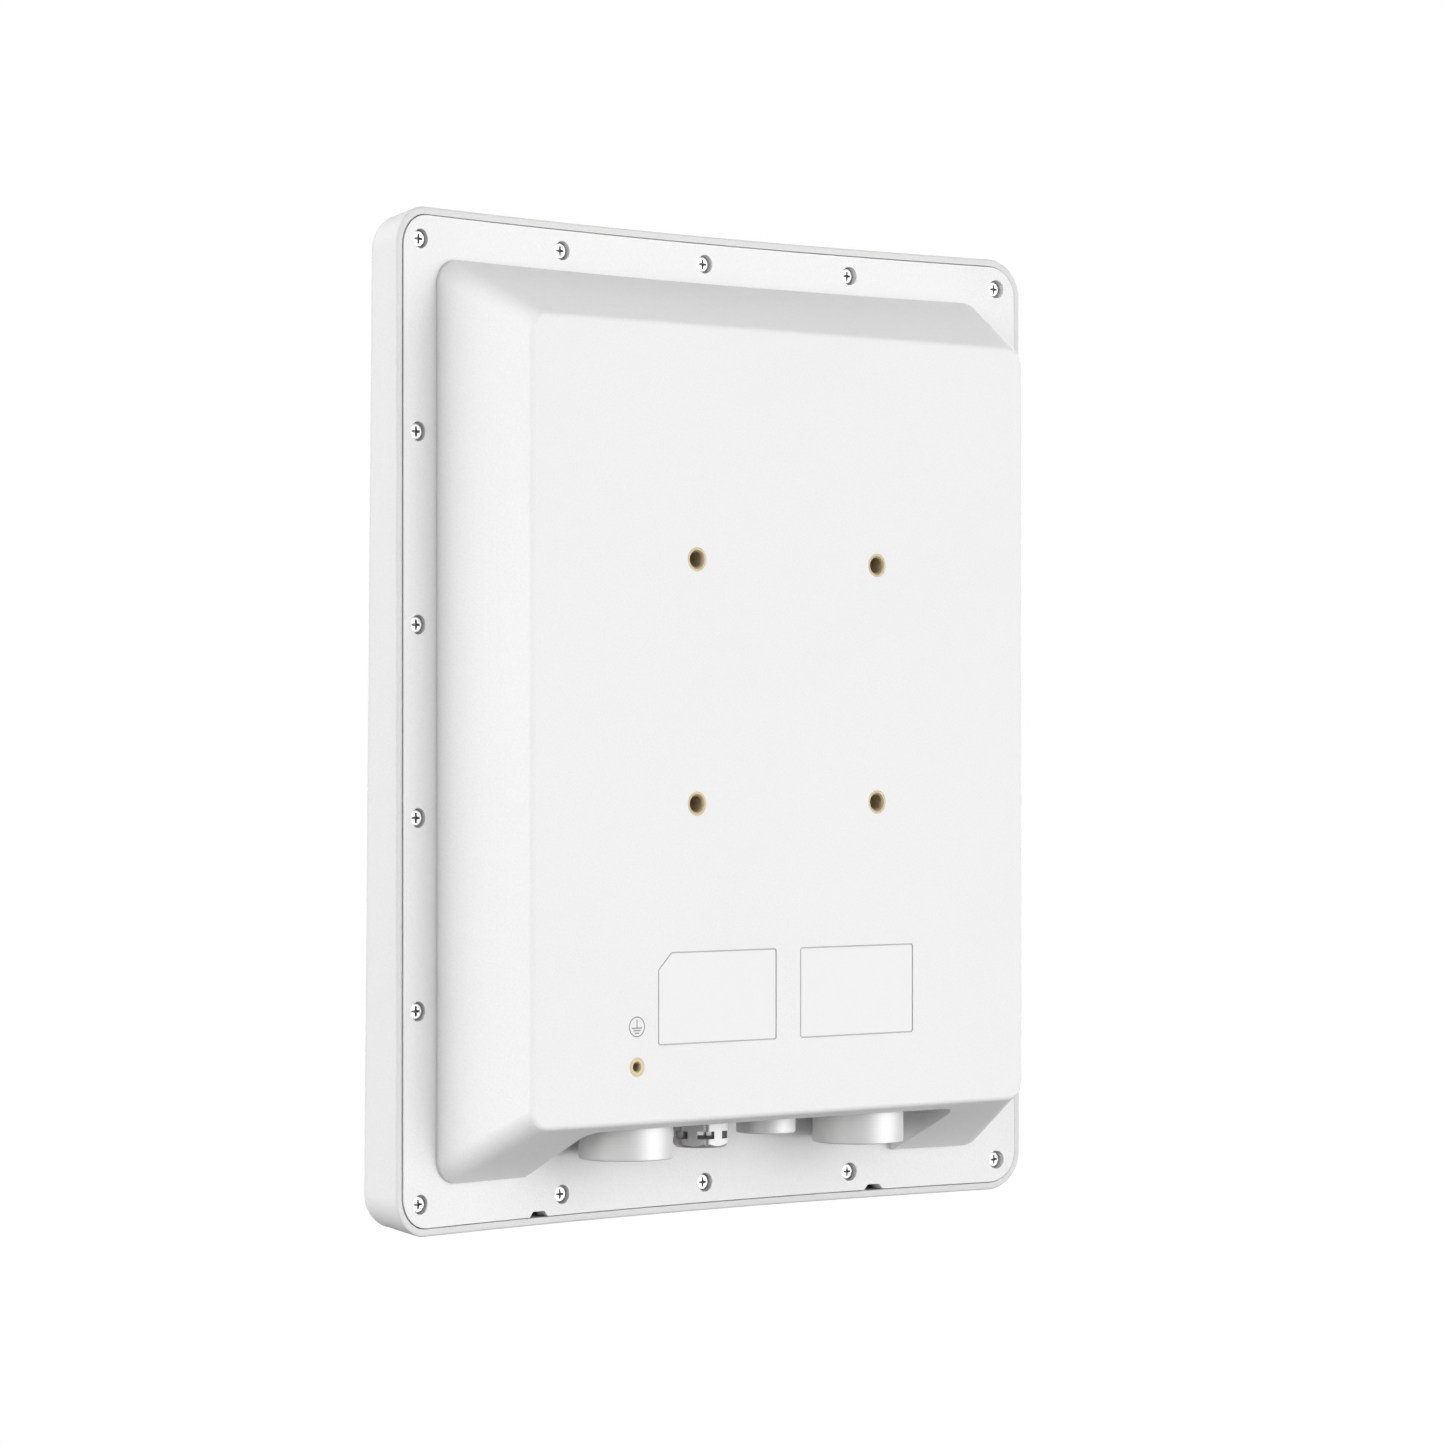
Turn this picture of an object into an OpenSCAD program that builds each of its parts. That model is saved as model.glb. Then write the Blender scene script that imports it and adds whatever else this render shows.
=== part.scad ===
// Wall or pole mounted reader and antenna panel of a retail security gate.
// The rear of the panel faces +Y, the curved front faces -Y, and +Z is up.
// The origin is the centre of the four-hole mounting pattern on the rear face.

/* [Panel] */
// Overall width of the panel
panel_w = 260; // [250:1:280]
// Overall height of the panel
panel_h = 310; // [300:1:330]
// Corner radius of the outer rim
panel_corner_r = 12.5; // [11:0.5:14]
// Radius of the arc that the flange follows over its width
rear_curve_r = 809; // [800:1:900]
// How far the panel's centre lies below the mounting pattern's centre
panel_drop = 12.4; // [8:0.2:16]

/* [Front shell] */
// Depth of the shell behind its top edge
depth_top = 19; // [18:0.5:22]
// Depth of the shell behind its bottom edge
depth_bottom = 23; // [21:0.5:26]
// Wall thickness of the shell
shell_wall = 2.35; // [2.2:0.05:2.6]
// Radius of the rounding round the front face
front_edge_r = 7.5; // [6:0.5:9]
// How far the side wall leans in from rim to front
wall_draft = 1.6; // [1:0.1:2]
// Radius of the rim's outer edge
rim_edge_r = 0.8; // [0.5:0.1:1]
// How far the rim lies below the cover plate
rim_step = 0.4; // [0.2:0.1:0.6]

/* [Rear cover] */
// Thickness of the flange
flange_t = 4.8; // [4.6:0.1:5.4]
// Gap between the flange's edge and the rim
cover_gap = 0.3; // [0.25:0.05:0.5]
// Height of the pedestal above the middle of the flange
pedestal_h = 40; // [39:0.5:42]
// Width of the pedestal's face
face_w = 204; // [200:1:206]
// Height of the pedestal's face
face_h = 244.2; // [240:0.2:246]
// Width of the pedestal at its base
base_w = 226.8; // [224:0.2:228]
// Height of the pedestal at its base
base_h = 279.2; // [276:0.2:280]
// Radius of the rounding round the pedestal's face
face_edge_r = 2; // [1:0.5:3]
// Height of the upright foot round the pedestal's base
base_step = 1.3; // [0.5:0.1:2.5]
// Wall thickness of the pedestal's face
cover_wall = 3.5; // [3:0.1:4]

/* [Cable alcove] */
// Width of the alcove under the pedestal
alcove_w = 153.6; // [150:0.2:156]
// Thickness of the lip that hides the alcove
alcove_lip = 4.5; // [4:0.1:5]
// Height of the alcove's ceiling, measured from the mounting pattern's centre
ceiling_z = -132.5; // [-133:0.1:-131.5]

/* [Ports] */
// Distance from the middle to each data port
data_port_x = 48.5; // [46:0.5:50]
// Outside diameter of the data port collars
data_collar_d = 29.2; // [28:0.2:30]
// Height of the data port collars' mouths
data_mouth_z = -146.8; // [-148:0.2:-146]
// Position of the round auxiliary port
aux_port_x = -9; // [-10:0.5:-8]
// Outside diameter of the auxiliary port's collar
aux_collar_d = 18.8; // [18:0.2:19.4]
// Height of the auxiliary port's mouth
aux_mouth_z = -141.8; // [-142.4:0.2:-141]
// Position of the vent plug
vent_x = 18.2; // [17.6:0.2:18.8]
// Width across the flats of the vent plug
vent_flats = 16.4; // [16:0.2:17]
// Height of the vent plug's lowest face
vent_low_z = -144.8; // [-145.4:0.2:-144]

/* [Mounting] */
// Spacing of the four mounting holes, both ways
mount_pitch = 75; // [74:1:76]
// Bore diameter of the threaded mounting inserts
mount_bore_d = 4.92; // [4.8:0.02:5]
// Depth of the mounting inserts
mount_depth = 12; // [10:1:12]

/* [Hidden] */

half_w = panel_w / 2;
half_h = panel_h / 2;
curve_y = rear_curve_r - pedestal_h;     // where the flange arc has its centre
rim_r = rear_curve_r + rim_step;         // arc radius of the rim
under_r = rear_curve_r + flange_t;       // arc radius of the flange's underside
arc_fn = 720;                            // segments of the large arcs
far = 400;                               // longer than the panel, for cutting shapes
front_y = -90;                           // in front of everything, for cutting shapes

// Shell inside
inner_w = half_w - shell_wall;
inner_h = half_h - shell_wall;
inner_corner_r = panel_corner_r - shell_wall;
gasket_t = 1.2;
gasket_r = under_r + gasket_t;           // arc radius of the gasket's lower face
rib_out = [115.6, 141.2];                // half width and half height of the sealing rib
rib_in = [112.6, 138.2];

// Cover plate
plate_w = inner_w - cover_gap;
plate_h = inner_h - cover_gap;
plate_corner_r = inner_corner_r - cover_gap;
base_corner_r = 8;
face_corner_r = 6;
slope = 23;                              // mean lean of the pedestal's sides, in degrees

// Cover screws: M2.5 pan heads sunk in counterbores
screw_rise = 146.1;                      // top and bottom rows
corner_screw = [120.15, 145.1];
side_screw_x = 121.15;
side_screw_pitch = 58.05;
row_screw_pitch = 60.1;
head_d = 4.9;
head_h = 2;
head_sink = 1.2;
counterbore_d = 6;
screw_shank_r = 1.25;
screw_hole_r = 1.7;
boss_r = 3.6;
insert_r = 2.1;
insert_l = 6;

screw_spots = concat(
    [for (x = [-1, 0, 1], z = [-1, 1]) [x * row_screw_pitch, z * screw_rise]],
    [for (x = [-1, 1], z = [-1, 1]) [x * corner_screw[0], z * corner_screw[1]]],
    [for (x = [-1, 1], k = [-1.5:1:1.5]) [x * side_screw_x, k * side_screw_pitch]]
);
mount_spots = [for (x = [-0.5, 0.5], z = [-0.5, 0.5]) [x * mount_pitch, z * mount_pitch]];

// Ports
port_y = -21;
gasket_seat = 1;                         // thickness of the port gaskets
data_bore_r = 12.4;
data_seat_r = 11.6;                      // the jack's round face sits in this step
data_neck_r = 12;
data_face_z = -141;                      // the jack's face, inside the collar
data_jack_top = -111;
data_jack = [15.6, 13.2];                // width and thickness of the jack body
data_slot = [11.7, 7];                   // the opening for the plug
aux_bore_r = 6.4;
aux_seat_r = 6;
aux_face_z = -137.8;
aux_top_z = -118;
aux_neck_r = 7;
aux_core_r = 5.2;                        // hole through the collar for the insulator
aux_pins = [for (a = [45:90:315]) [2.5 * cos(a), 2.5 * sin(a)]];
vent_neck_r = 6;
vent_chamber_r = 5.2;                    // the hollow that the membrane closes
vent_seat = 1.4;                         // thickness of the vent's O-ring
ceiling_t = 3.5;

// Fixtures on the face
label_size = [48.2, 28.4];
label_z = -96.85;
label_x = 29;
label_sink = 0.3;
label_t = 0.2;
label_corner_r = 1;
label_clip = 5.3;
earth_x = 61.45;
earth_z = -117.2;
earth_mark_z = -105;
earth_ring_r = 2.9;
earth_bore_r = 1.25;
earth_depth = 8;
insert_ring_r = 3.7;
mount_boss_r = 6.5;
earth_boss_r = 5;

// Inside
board_y = -20;                           // the board's face towards the rear
board_t = 1.6;
board_size = [170, 172];
board_mid_z = 3;
post_r = 3.5;                            // posts for the board and for the reflector
tap_r = 1.3;                             // pilot holes of the screws in those posts
heat_block = [[-26, -14, -12], [26, 0, 28]];
post_spots = [for (x = [-79, 79], z = [-77, 3, 83]) [x, z]];
reflector_y = -47;                       // the reflector's face towards the rear
reflector_t = 1.5;
reflector_size = [212, 272];
reflector_posts = [for (x = [-98, 98], z = [-128, 0, 128]) [x, z]];
patch_y = -52.5;                         // the patches' face towards the rear
patch_t = 1;
patch_size = 118;
patch_mid = 68;                          // patch centre from the panel's centre
patch_hold = 42;                         // standoff from the patch's centre, both ways
standoff_r = 2;
feed_offset = 20;                        // feed pin from the patch's centre
feed_pin_r = 0.7;
through = [-40, -60];                    // depths that holes in the antenna's sheets run between
coax_z = -20;                            // height of the radio jacks
lead_r = 1.4;
lead_top_z = -82;

// ---- shared shapes ----

// The height of an arc surface at a given x
function arc_y(x, r) = curve_y - sqrt(r * r - x * x);

// Rows of a rounded rectangle from top to bottom, each [half width, z]
function rows(a, b, r, n = 8) = concat(
    [for (i = [0:n]) [a - r + r * sin(90 * i / n), b - r + r * cos(90 * i / n)]],
    [for (i = [n:-1:0]) [a - r + r * sin(90 * i / n), r - b - r * cos(90 * i / n)]]
);

// A point of a row, at step i of m across its width, on the surface y = f(x, z)
function row_point(row, i, m, f) = let (x = row[0] * (2 * i / m - 1)) [x, f(x, row[1]), row[1]];

// One closed ring: along the top row, down the right, back along the bottom, up the left
function ring_points(rw, m, f) = let (n = len(rw)) concat(
    [for (i = [0:m]) row_point(rw[0], i, m, f)],
    [for (j = [1:n - 2]) row_point(rw[j], m, m, f)],
    [for (i = [m:-1:0]) row_point(rw[n - 1], i, m, f)],
    [for (j = [n - 2:-1:1]) row_point(rw[j], 0, m, f)]
);

// The index of cap point (row j, step i) in a ring that starts at b, with its inside at c
function cap_index(b, c, n, m, j, i) =
    j == 0 ? b + i
    : j == n - 1 ? b + (m + 1) + (n - 2) + (m - i)
    : i == m ? b + (m + 1) + (j - 1)
    : i == 0 ? b + 2 * (m + 1) + (n - 2) + (n - 2 - j)
    : c + (j - 1) * (m - 1) + (i - 1);

// A solid through rings that run from +Y to -Y; each ring is [rows, f]
module loft(rings, m) {
    n = len(rings[0][0]);
    p = 2 * (m + 1) + 2 * (n - 2);
    k = len(rings);
    inside = (n - 2) * (m - 1);
    last = (k - 1) * p;
    outer = [for (r = rings) each ring_points(r[0], m, r[1])];
    caps = [for (r = [rings[0], rings[k - 1]], j = [1:n - 2], i = [1:m - 1])
        row_point(r[0][j], i, m, r[1])];
    sides = [for (a = [0:k - 2], i = [0:p - 1]) let (q = (i + 1) % p, s = a * p, t = s + p)
        each [[s + i, s + q, t + q], [s + i, t + q, t + i]]];
    front = [for (j = [0:n - 2], i = [0:m - 1]) let (
        w = cap_index(last, k * p + inside, n, m, j, i),
        x = cap_index(last, k * p + inside, n, m, j, i + 1),
        y = cap_index(last, k * p + inside, n, m, j + 1, i + 1),
        z = cap_index(last, k * p + inside, n, m, j + 1, i))
        each [[w, x, y], [w, y, z]]];
    rear = [for (j = [0:n - 2], i = [0:m - 1]) let (
        w = cap_index(0, k * p, n, m, j, i),
        x = cap_index(0, k * p, n, m, j, i + 1),
        y = cap_index(0, k * p, n, m, j + 1, i + 1),
        z = cap_index(0, k * p, n, m, j + 1, i))
        each [[w, y, x], [w, z, y]]];
    polyhedron(points = concat(outer, caps), faces = concat(sides, front, rear), convexity = 6);
}

// A round bar along Y, from y0 down to y1
module bar_y(r, y0, y1, fn = 48) {
    translate([0, y0, 0]) rotate([90, 0, 0]) cylinder(r = r, h = y0 - y1, $fn = fn);
}

// A round taper along Y, with radius r0 at y0 and r1 at y1
module bar_taper(r0, r1, y0, y1, fn = 48) {
    translate([0, y0, 0]) rotate([90, 0, 0]) cylinder(r1 = r0, r2 = r1, h = y0 - y1, $fn = fn);
}

// A round bar along Z, from z0 up to z1
module bar_z(r, z0, z1, fn = 96) {
    translate([0, 0, z0]) cylinder(r = r, h = z1 - z0, $fn = fn);
}

// A block given by its lowest and highest corners
module block(low, high) {
    translate(low) cube(high - low);
}

// A flat rounded rectangle with half sizes a and b
module round_rect(a, b, r, fn = 48) {
    square([2 * a - 2 * r, 2 * b], center = true);
    square([2 * a, 2 * b - 2 * r], center = true);
    for (x = [-1, 1], z = [-1, 1]) translate([x * (a - r), z * (b - r)]) circle(r = r, $fn = fn);
}

// A flat drawing in X and Z, given thickness from y0 down to y1
module plate(y0, y1) {
    translate([0, y0, 0]) rotate([90, 0, 0]) linear_extrude(y0 - y1) children();
}

// Everything to the rear of an arc surface
module rear_of(r) {
    translate([0, curve_y, -far / 2]) cylinder(r = r, h = far, $fn = arc_fn);
}

// Shapes that are measured from the panel's centre
module at_panel() {
    translate([0, 0, -panel_drop]) children();
}

// ---- front shell and its seal ----

function shell_depth(z) = depth_bottom + (depth_top - depth_bottom) * (z + half_h) / panel_h;

// A ring of the shell: inset from the rim's outline, a share of the wall, and a fixed depth
function shell_ring(a, b, r, inset, share, fixed) = [
    rows(a - inset, b - inset, r - inset),
    function(x, z) arc_y(x, rim_r) - share * (shell_depth(z) - front_edge_r) - fixed
];

module shell_outside() {
    turns = 8;
    rim = [for (t = [0:45:90]) shell_ring(half_w, half_h, panel_corner_r,
        rim_edge_r * (1 - sin(t)), 0, rim_edge_r * (1 - cos(t)))];
    edge = [for (i = [0:turns]) let (t = 90 * i / turns) shell_ring(half_w, half_h, panel_corner_r,
        wall_draft + front_edge_r * (1 - cos(t)), 1, front_edge_r * sin(t))];
    loft(concat(rim, edge), 24);
}

module shell_inside() {
    turns = 5;
    r = front_edge_r - shell_wall;
    mouth = [for (depth = [-6, flange_t + 1]) shell_ring(inner_w, inner_h, inner_corner_r, 0, 0, depth)];
    edge = [for (i = [0:turns]) let (t = 90 * i / turns) shell_ring(inner_w, inner_h, inner_corner_r,
        wall_draft + r * (1 - cos(t)), 1, r * sin(t))];
    loft(concat(mouth, edge), 24);
}

// The sealing rib that carries the gasket
module seal_frame(y0, y1) {
    plate(y0, y1) difference() {
        round_rect(rib_out[0], rib_out[1], 7);
        round_rect(rib_in[0], rib_in[1], 5);
    }
}

module front_shell() {
    insert_hole = insert_l + 3;
    color("#f0f0ee") at_panel() difference() {
        shell_outside();
        difference() {
            shell_inside();
            difference() {
                seal_frame(-20, front_y);
                rear_of(gasket_r);
            }
            difference() {
                for (s = screw_spots) translate([s[0], 0, s[1]]) bar_y(boss_r, -20, front_y);
                rear_of(under_r);
            }
            for (s = reflector_posts) translate([s[0], 0, s[1]])
                bar_y(post_r, reflector_y - reflector_t, front_y);
        }
        for (s = screw_spots) translate([s[0], arc_y(s[0], under_r), s[1]])
            bar_y(insert_r + 0.02, 5, -insert_hole);
        for (s = reflector_posts) translate([s[0], reflector_y - reflector_t, s[1]])
            bar_y(tap_r, 1, -3.5);
    }
}

module shell_inserts() {
    color("#b5894a") at_panel() for (s = screw_spots)
        translate([s[0], arc_y(s[0], under_r) - 0.8, s[1]]) difference() {
            bar_y(insert_r, 0, -insert_l);
            bar_y(screw_shank_r + 0.05, 1, -insert_l - 1);
        }
}

module rim_gasket() {
    color("#2b2b2b") at_panel() difference() {
        intersection() {
            seal_frame(-20, -60);
            rear_of(gasket_r);
        }
        rear_of(under_r);
    }
}

// ---- rear cover ----

// A ring of the pedestal near the flange: grown from the base outline, height above the arc
function base_ring(grow, h) = [
    rows(base_w / 2 + grow, base_h / 2 + grow, base_corner_r + grow),
    function(x, z) arc_y(x, rear_curve_r) + h
];

// A ring of the pedestal near its flat face
function face_ring(grow, y) = [
    rows(face_w / 2 + grow, face_h / 2 + grow, face_corner_r + grow),
    function(x, z) y
];

module pedestal() {
    tuck = face_edge_r * tan((90 - slope) / 2);
    turns = 6;
    round_over = [for (i = [0:turns]) let (t = (90 - slope) * i / turns)
        face_ring(face_edge_r * sin(t) - tuck, face_edge_r * (cos(t) - 1))];
    foot = [base_ring(0, base_step), base_ring(0.1, -flange_t / 2)];
    loft(concat(round_over, foot), 14);
}

module pedestal_cavity() {
    wide = [face_w / 2 - cover_wall, face_h / 2 - cover_wall];
    foot = [base_w / 2 - 2.9, base_h / 2 - 3.1];
    at_panel() hull() {
        plate(-cover_wall, -cover_wall - 0.1) round_rect(wide[0], wide[1], 4, 32);
        plate(-pedestal_h - 9, -pedestal_h - 9.1) round_rect(foot[0], foot[1], 6, 32);
    }
}

// The alcove in plan, with the lip on its rear side and rounded corners behind the lip
module alcove_plan(w, lip) {
    corner = 5;
    deep = 60;
    intersection() {
        union() {
            translate([-w / 2, -deep]) square([w, deep - lip - corner]);
            translate([-w / 2 + corner, -deep]) square([w - 2 * corner, deep - lip]);
            for (x = [-1, 1]) translate([x * (w / 2 - corner), -lip - corner]) circle(r = corner, $fn = 48);
        }
        translate([0, curve_y]) circle(r = rear_curve_r, $fn = arc_fn);
    }
}

module alcove() {
    low = -175;
    translate([0, 0, low]) linear_extrude(ceiling_z - low) alcove_plan(alcove_w, alcove_lip);
}

// Protective earth mark: a stem, three bars and a ring round them, 0.15 mm deep
module earth_mark() {
    line = 0.34;
    ring = 3.15;
    stem = [-0.4, 2.2];
    bar_step = 0.76;
    translate([earth_x, 0, earth_mark_z]) plate(1, -0.15) {
        difference() {
            circle(r = ring, $fn = 64);
            circle(r = ring - line, $fn = 64);
        }
        translate([-line / 2, stem[0]]) square([line, stem[1] - stem[0]]);
        for (k = [0:2]) translate([0, stem[0] - bar_step * k])
            square([4.1 - 1.15 * k, line], center = true);
    }
}

module label_outline(clip, shrink) {
    a = label_size[0] / 2 - shrink;
    b = label_size[1] / 2 - shrink;
    difference() {
        round_rect(a, b, label_corner_r, 32);
        if (clip) translate([a, b]) rotate(-45) square([20, label_clip * sqrt(2)], center = true);
    }
}

// Flange and pedestal as one casting, hollow behind the face
module cover_body() {
    difference() {
        union() {
            at_panel() difference() {
                intersection() {
                    plate(0, front_y) round_rect(plate_w, plate_h, plate_corner_r);
                    rear_of(under_r);
                }
                rear_of(rear_curve_r);
            }
            at_panel() pedestal();
        }
        difference() {
            pedestal_cavity();
            cover_ribs();
        }
    }
}

// What stands in the cavity: alcove walls, screw bosses, board posts and the heat block
module cover_ribs() {
    wall_x = alcove_w / 2 + ceiling_t;
    block([-wall_x, front_y, -far / 2], [wall_x, 0, ceiling_z + ceiling_t]);
    for (s = mount_spots) translate([s[0], 0, s[1]]) bar_y(mount_boss_r, 0, -mount_depth - 4);
    for (s = post_spots) translate([s[0], 0, s[1]]) bar_y(post_r, 0, board_y);
    translate([earth_x, 0, earth_z]) bar_y(earth_boss_r, 0, -earth_depth - 3);
    block(heat_block[0], heat_block[1]);
}

// The small notches in the flange's lower edge
module edge_notches() {
    notch_x = 70;
    wide = 3.85;
    narrow = 2.35;
    high = 1.7;
    at_panel() for (x = [-1, 1]) translate([x * notch_x, 0, -plate_h]) plate(0, front_y)
        polygon([[-wide, -0.5], [-wide, 0], [-narrow, high], [narrow, high], [wide, 0], [wide, -0.5]]);
}

// Holes in the alcove's ceiling for the necks of the ports and the vent
module neck_holes() {
    play = 0.1;
    necks = [
        [data_port_x, data_neck_r], [-data_port_x, data_neck_r],
        [aux_port_x, aux_neck_r], [vent_x, vent_neck_r]
    ];
    for (n = necks) translate([n[0], port_y, 0])
        bar_z(n[1] + play, ceiling_z - 5, ceiling_z + ceiling_t + 5);
}

module rear_cover() {
    color("#f4f4f2") difference() {
        cover_body();
        alcove();
        edge_notches();
        neck_holes();
        earth_mark();
        at_panel() for (s = screw_spots) translate([s[0], arc_y(s[0], rear_curve_r), s[1]]) {
            bar_y(counterbore_d / 2, 5, -head_sink - head_h);
            bar_y(screw_hole_r, 1, -20);
        }
        for (s = mount_spots) translate([s[0], 0, s[1]]) {
            bar_y(insert_ring_r + 0.01, 1, -mount_depth);
            bar_y(mount_bore_d / 2, 0, -mount_depth - 1.5);
        }
        translate([earth_x, 0, earth_z]) {
            bar_y(earth_ring_r + 0.01, 1, -earth_depth);
            bar_y(earth_bore_r, 0, -earth_depth - 1);
        }
        for (s = post_spots) translate([s[0], 0, s[1]]) bar_y(tap_r, board_y + 7, board_y - 1);
        translate([label_x, 0, label_z]) plate(1, -label_sink) label_outline(true, 0);
        translate([-label_x, 0, label_z]) plate(1, -label_sink) label_outline(false, 0);
    }
}

// A pan head screw along Y: the top of its head at y = 0, with a cross recess
module pan_screw(head_r, h, shank_r, length) {
    edge_r = 0.6;
    difference() {
        rotate([90, 0, 0]) {
            rotate_extrude($fn = 48) {
                translate([0, edge_r]) square([head_r, h - edge_r]);
                square([head_r - edge_r, h]);
                intersection() {
                    translate([head_r - edge_r, edge_r]) circle(r = edge_r, $fn = 48);
                    square([head_r, h]);
                }
            }
            translate([0, 0, h]) cylinder(r = shank_r, h = length, $fn = 32);
        }
        cross_recess();
    }
}

// The recess for a cross screwdriver: two slots that narrow towards the bottom
module cross_recess() {
    arm = 1.5;
    half_width = 0.38;
    deep = 1.5;
    intersection() {
        for (a = [0, 90]) rotate([0, a, 0]) block([-arm, -deep, -half_width], [arm, 0.1, half_width]);
        bar_taper(arm + 0.1, 0.45, 0.1, -deep);
    }
}

module cover_screws() {
    color("#dcdcda") at_panel() for (s = screw_spots)
        translate([s[0], arc_y(s[0], rear_curve_r) - head_sink, s[1]])
            pan_screw(head_d / 2, head_h, screw_shank_r, 8);
}

// A threaded insert along Y, flush with the face
module face_insert(r, bore, length) {
    difference() {
        bar_y(r, 0, -length, 64);
        bar_y(bore, 1, -length - 1, 64);
    }
}

module mount_inserts() {
    color("#cdbb95") for (s = mount_spots) translate([s[0], 0, s[1]])
        face_insert(insert_ring_r, mount_bore_d / 2, mount_depth);
}

module earth_insert() {
    color("#cdbb95") translate([earth_x, 0, earth_z])
        face_insert(earth_ring_r, earth_bore_r, earth_depth);
}

module blank_label(x, clip) {
    color("#f7f7f5") translate([x, 0, label_z]) plate(label_t - label_sink, -label_sink)
        label_outline(clip, 0.2);
}

module blank_label_left() {
    blank_label(label_x, true);
}

module blank_label_right() {
    blank_label(-label_x, false);
}

// ---- data ports ----

// Collar: a plain ring below the ceiling with a threaded neck through it
module data_collar(x) {
    seat = ceiling_z - gasket_seat;
    color("#c9c9c7") translate([x, port_y, 0]) difference() {
        union() {
            bar_z(data_collar_d / 2 - 0.6, data_mouth_z, seat);
            bar_z(data_collar_d / 2, data_mouth_z + 0.6, seat);
            bar_z(data_neck_r, seat - 1, -119);
            translate([0, 0, data_mouth_z + 0.6]) rotate_extrude($fn = 96)
                translate([data_collar_d / 2 - 0.6, 0]) circle(r = 0.6, $fn = 32);
        }
        bar_z(data_bore_r, data_mouth_z - 1, data_face_z);
        bar_z(data_seat_r, data_face_z - 1, data_face_z + 1.5);
        block([-data_jack[0] / 2 - 0.05, -data_jack[1] / 2 - 0.05, -145],
            [data_jack[0] / 2 + 0.05, data_jack[1] / 2 + 0.05, -110]);
    }
}

// Jack: a round face with the plug's opening, and a body that runs up through the neck
module data_jack(x) {
    mouth = data_slot[0] / 2;
    color("#26282a") translate([x, port_y, 0]) difference() {
        union() {
            bar_z(data_seat_r - 0.1, data_face_z, data_face_z + 1.4);
            block([-data_jack[0] / 2, -data_jack[1] / 2, data_face_z],
                [data_jack[0] / 2, data_jack[1] / 2, data_jack_top]);
        }
        block([-mouth, -data_slot[1] / 2, data_face_z - 1], [mouth, data_slot[1] / 2, data_face_z + 13]);
        block([-3, data_slot[1] / 2 - 0.1, data_face_z - 1], [3, data_slot[1] / 2 + 1.5, data_face_z + 13]);
    }
}

module data_contacts(x) {
    pitch = 1.02;
    color("#c8a54a") translate([x, port_y, 0]) for (k = [-3.5:1:3.5]) translate([k * pitch, 0, 0])
        block([-0.2, -data_slot[1] / 2, data_face_z + 2], [0.2, -data_slot[1] / 2 + 0.9, data_face_z + 12]);
}

module data_gasket(x) {
    color("#2b2b2b") translate([x, port_y, 0]) difference() {
        bar_z(data_collar_d / 2 - 0.3, ceiling_z - gasket_seat, ceiling_z);
        bar_z(data_neck_r + 0.15, ceiling_z - 2, ceiling_z + 1);
    }
}

// A round nut with spanner slots, above the ceiling
module round_nut(r, bore, z0, h) {
    difference() {
        bar_z(r, z0, z0 + h);
        bar_z(bore, z0 - 1, z0 + h + 1);
        for (a = [0:60:300]) rotate(a) block([r - 1.2, -1.5, z0 - 1], [r + 1, 1.5, z0 + h + 1]);
    }
}

module data_nut(x) {
    color("#b9b9b7") translate([x, port_y, 0])
        round_nut(15, data_neck_r + 0.05, ceiling_z + ceiling_t, 4);
}

module data_collar_left() {
    data_collar(data_port_x);
}

module data_collar_right() {
    data_collar(-data_port_x);
}

module data_jack_left() {
    data_jack(data_port_x);
}

module data_jack_right() {
    data_jack(-data_port_x);
}

module data_contacts_left() {
    data_contacts(data_port_x);
}

module data_contacts_right() {
    data_contacts(-data_port_x);
}

module data_gasket_left() {
    data_gasket(data_port_x);
}

module data_gasket_right() {
    data_gasket(-data_port_x);
}

module data_nut_left() {
    data_nut(data_port_x);
}

module data_nut_right() {
    data_nut(-data_port_x);
}

// ---- auxiliary port ----

module aux_collar() {
    seat = ceiling_z - gasket_seat;
    color("#c9c9c7") translate([aux_port_x, port_y, 0]) difference() {
        union() {
            bar_z(aux_collar_d / 2 - 0.5, aux_mouth_z, seat);
            bar_z(aux_collar_d / 2, aux_mouth_z + 0.5, seat);
            bar_z(aux_neck_r, seat - 1, -122);
            translate([0, 0, aux_mouth_z + 0.5]) rotate_extrude($fn = 96)
                translate([aux_collar_d / 2 - 0.5, 0]) circle(r = 0.5, $fn = 32);
        }
        bar_z(aux_bore_r, aux_mouth_z - 1, aux_face_z);
        bar_z(aux_seat_r, aux_face_z - 1, aux_face_z + 1.5);
        bar_z(aux_core_r, aux_face_z, -110);
    }
}

module aux_insulator() {
    color("#26282a") translate([aux_port_x, port_y, 0]) difference() {
        union() {
            bar_z(aux_seat_r - 0.1, aux_face_z, aux_face_z + 1.4);
            bar_z(aux_core_r - 0.05, aux_face_z, aux_top_z);
        }
        for (p = aux_pins) translate([p[0], p[1], 0]) bar_z(0.75, aux_face_z - 1, -121, 24);
    }
}

module aux_contacts() {
    color("#c8a54a") translate([aux_port_x, port_y, 0]) for (p = aux_pins)
        translate([p[0], p[1], 0]) difference() {
            bar_z(0.7, aux_face_z + 0.6, -121, 24);
            bar_z(0.4, aux_face_z, -128, 24);
        }
}

module aux_gasket() {
    color("#2b2b2b") translate([aux_port_x, port_y, 0]) difference() {
        bar_z(aux_collar_d / 2 - 0.3, ceiling_z - gasket_seat, ceiling_z);
        bar_z(aux_neck_r + 0.15, ceiling_z - 2, ceiling_z + 1);
    }
}

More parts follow.
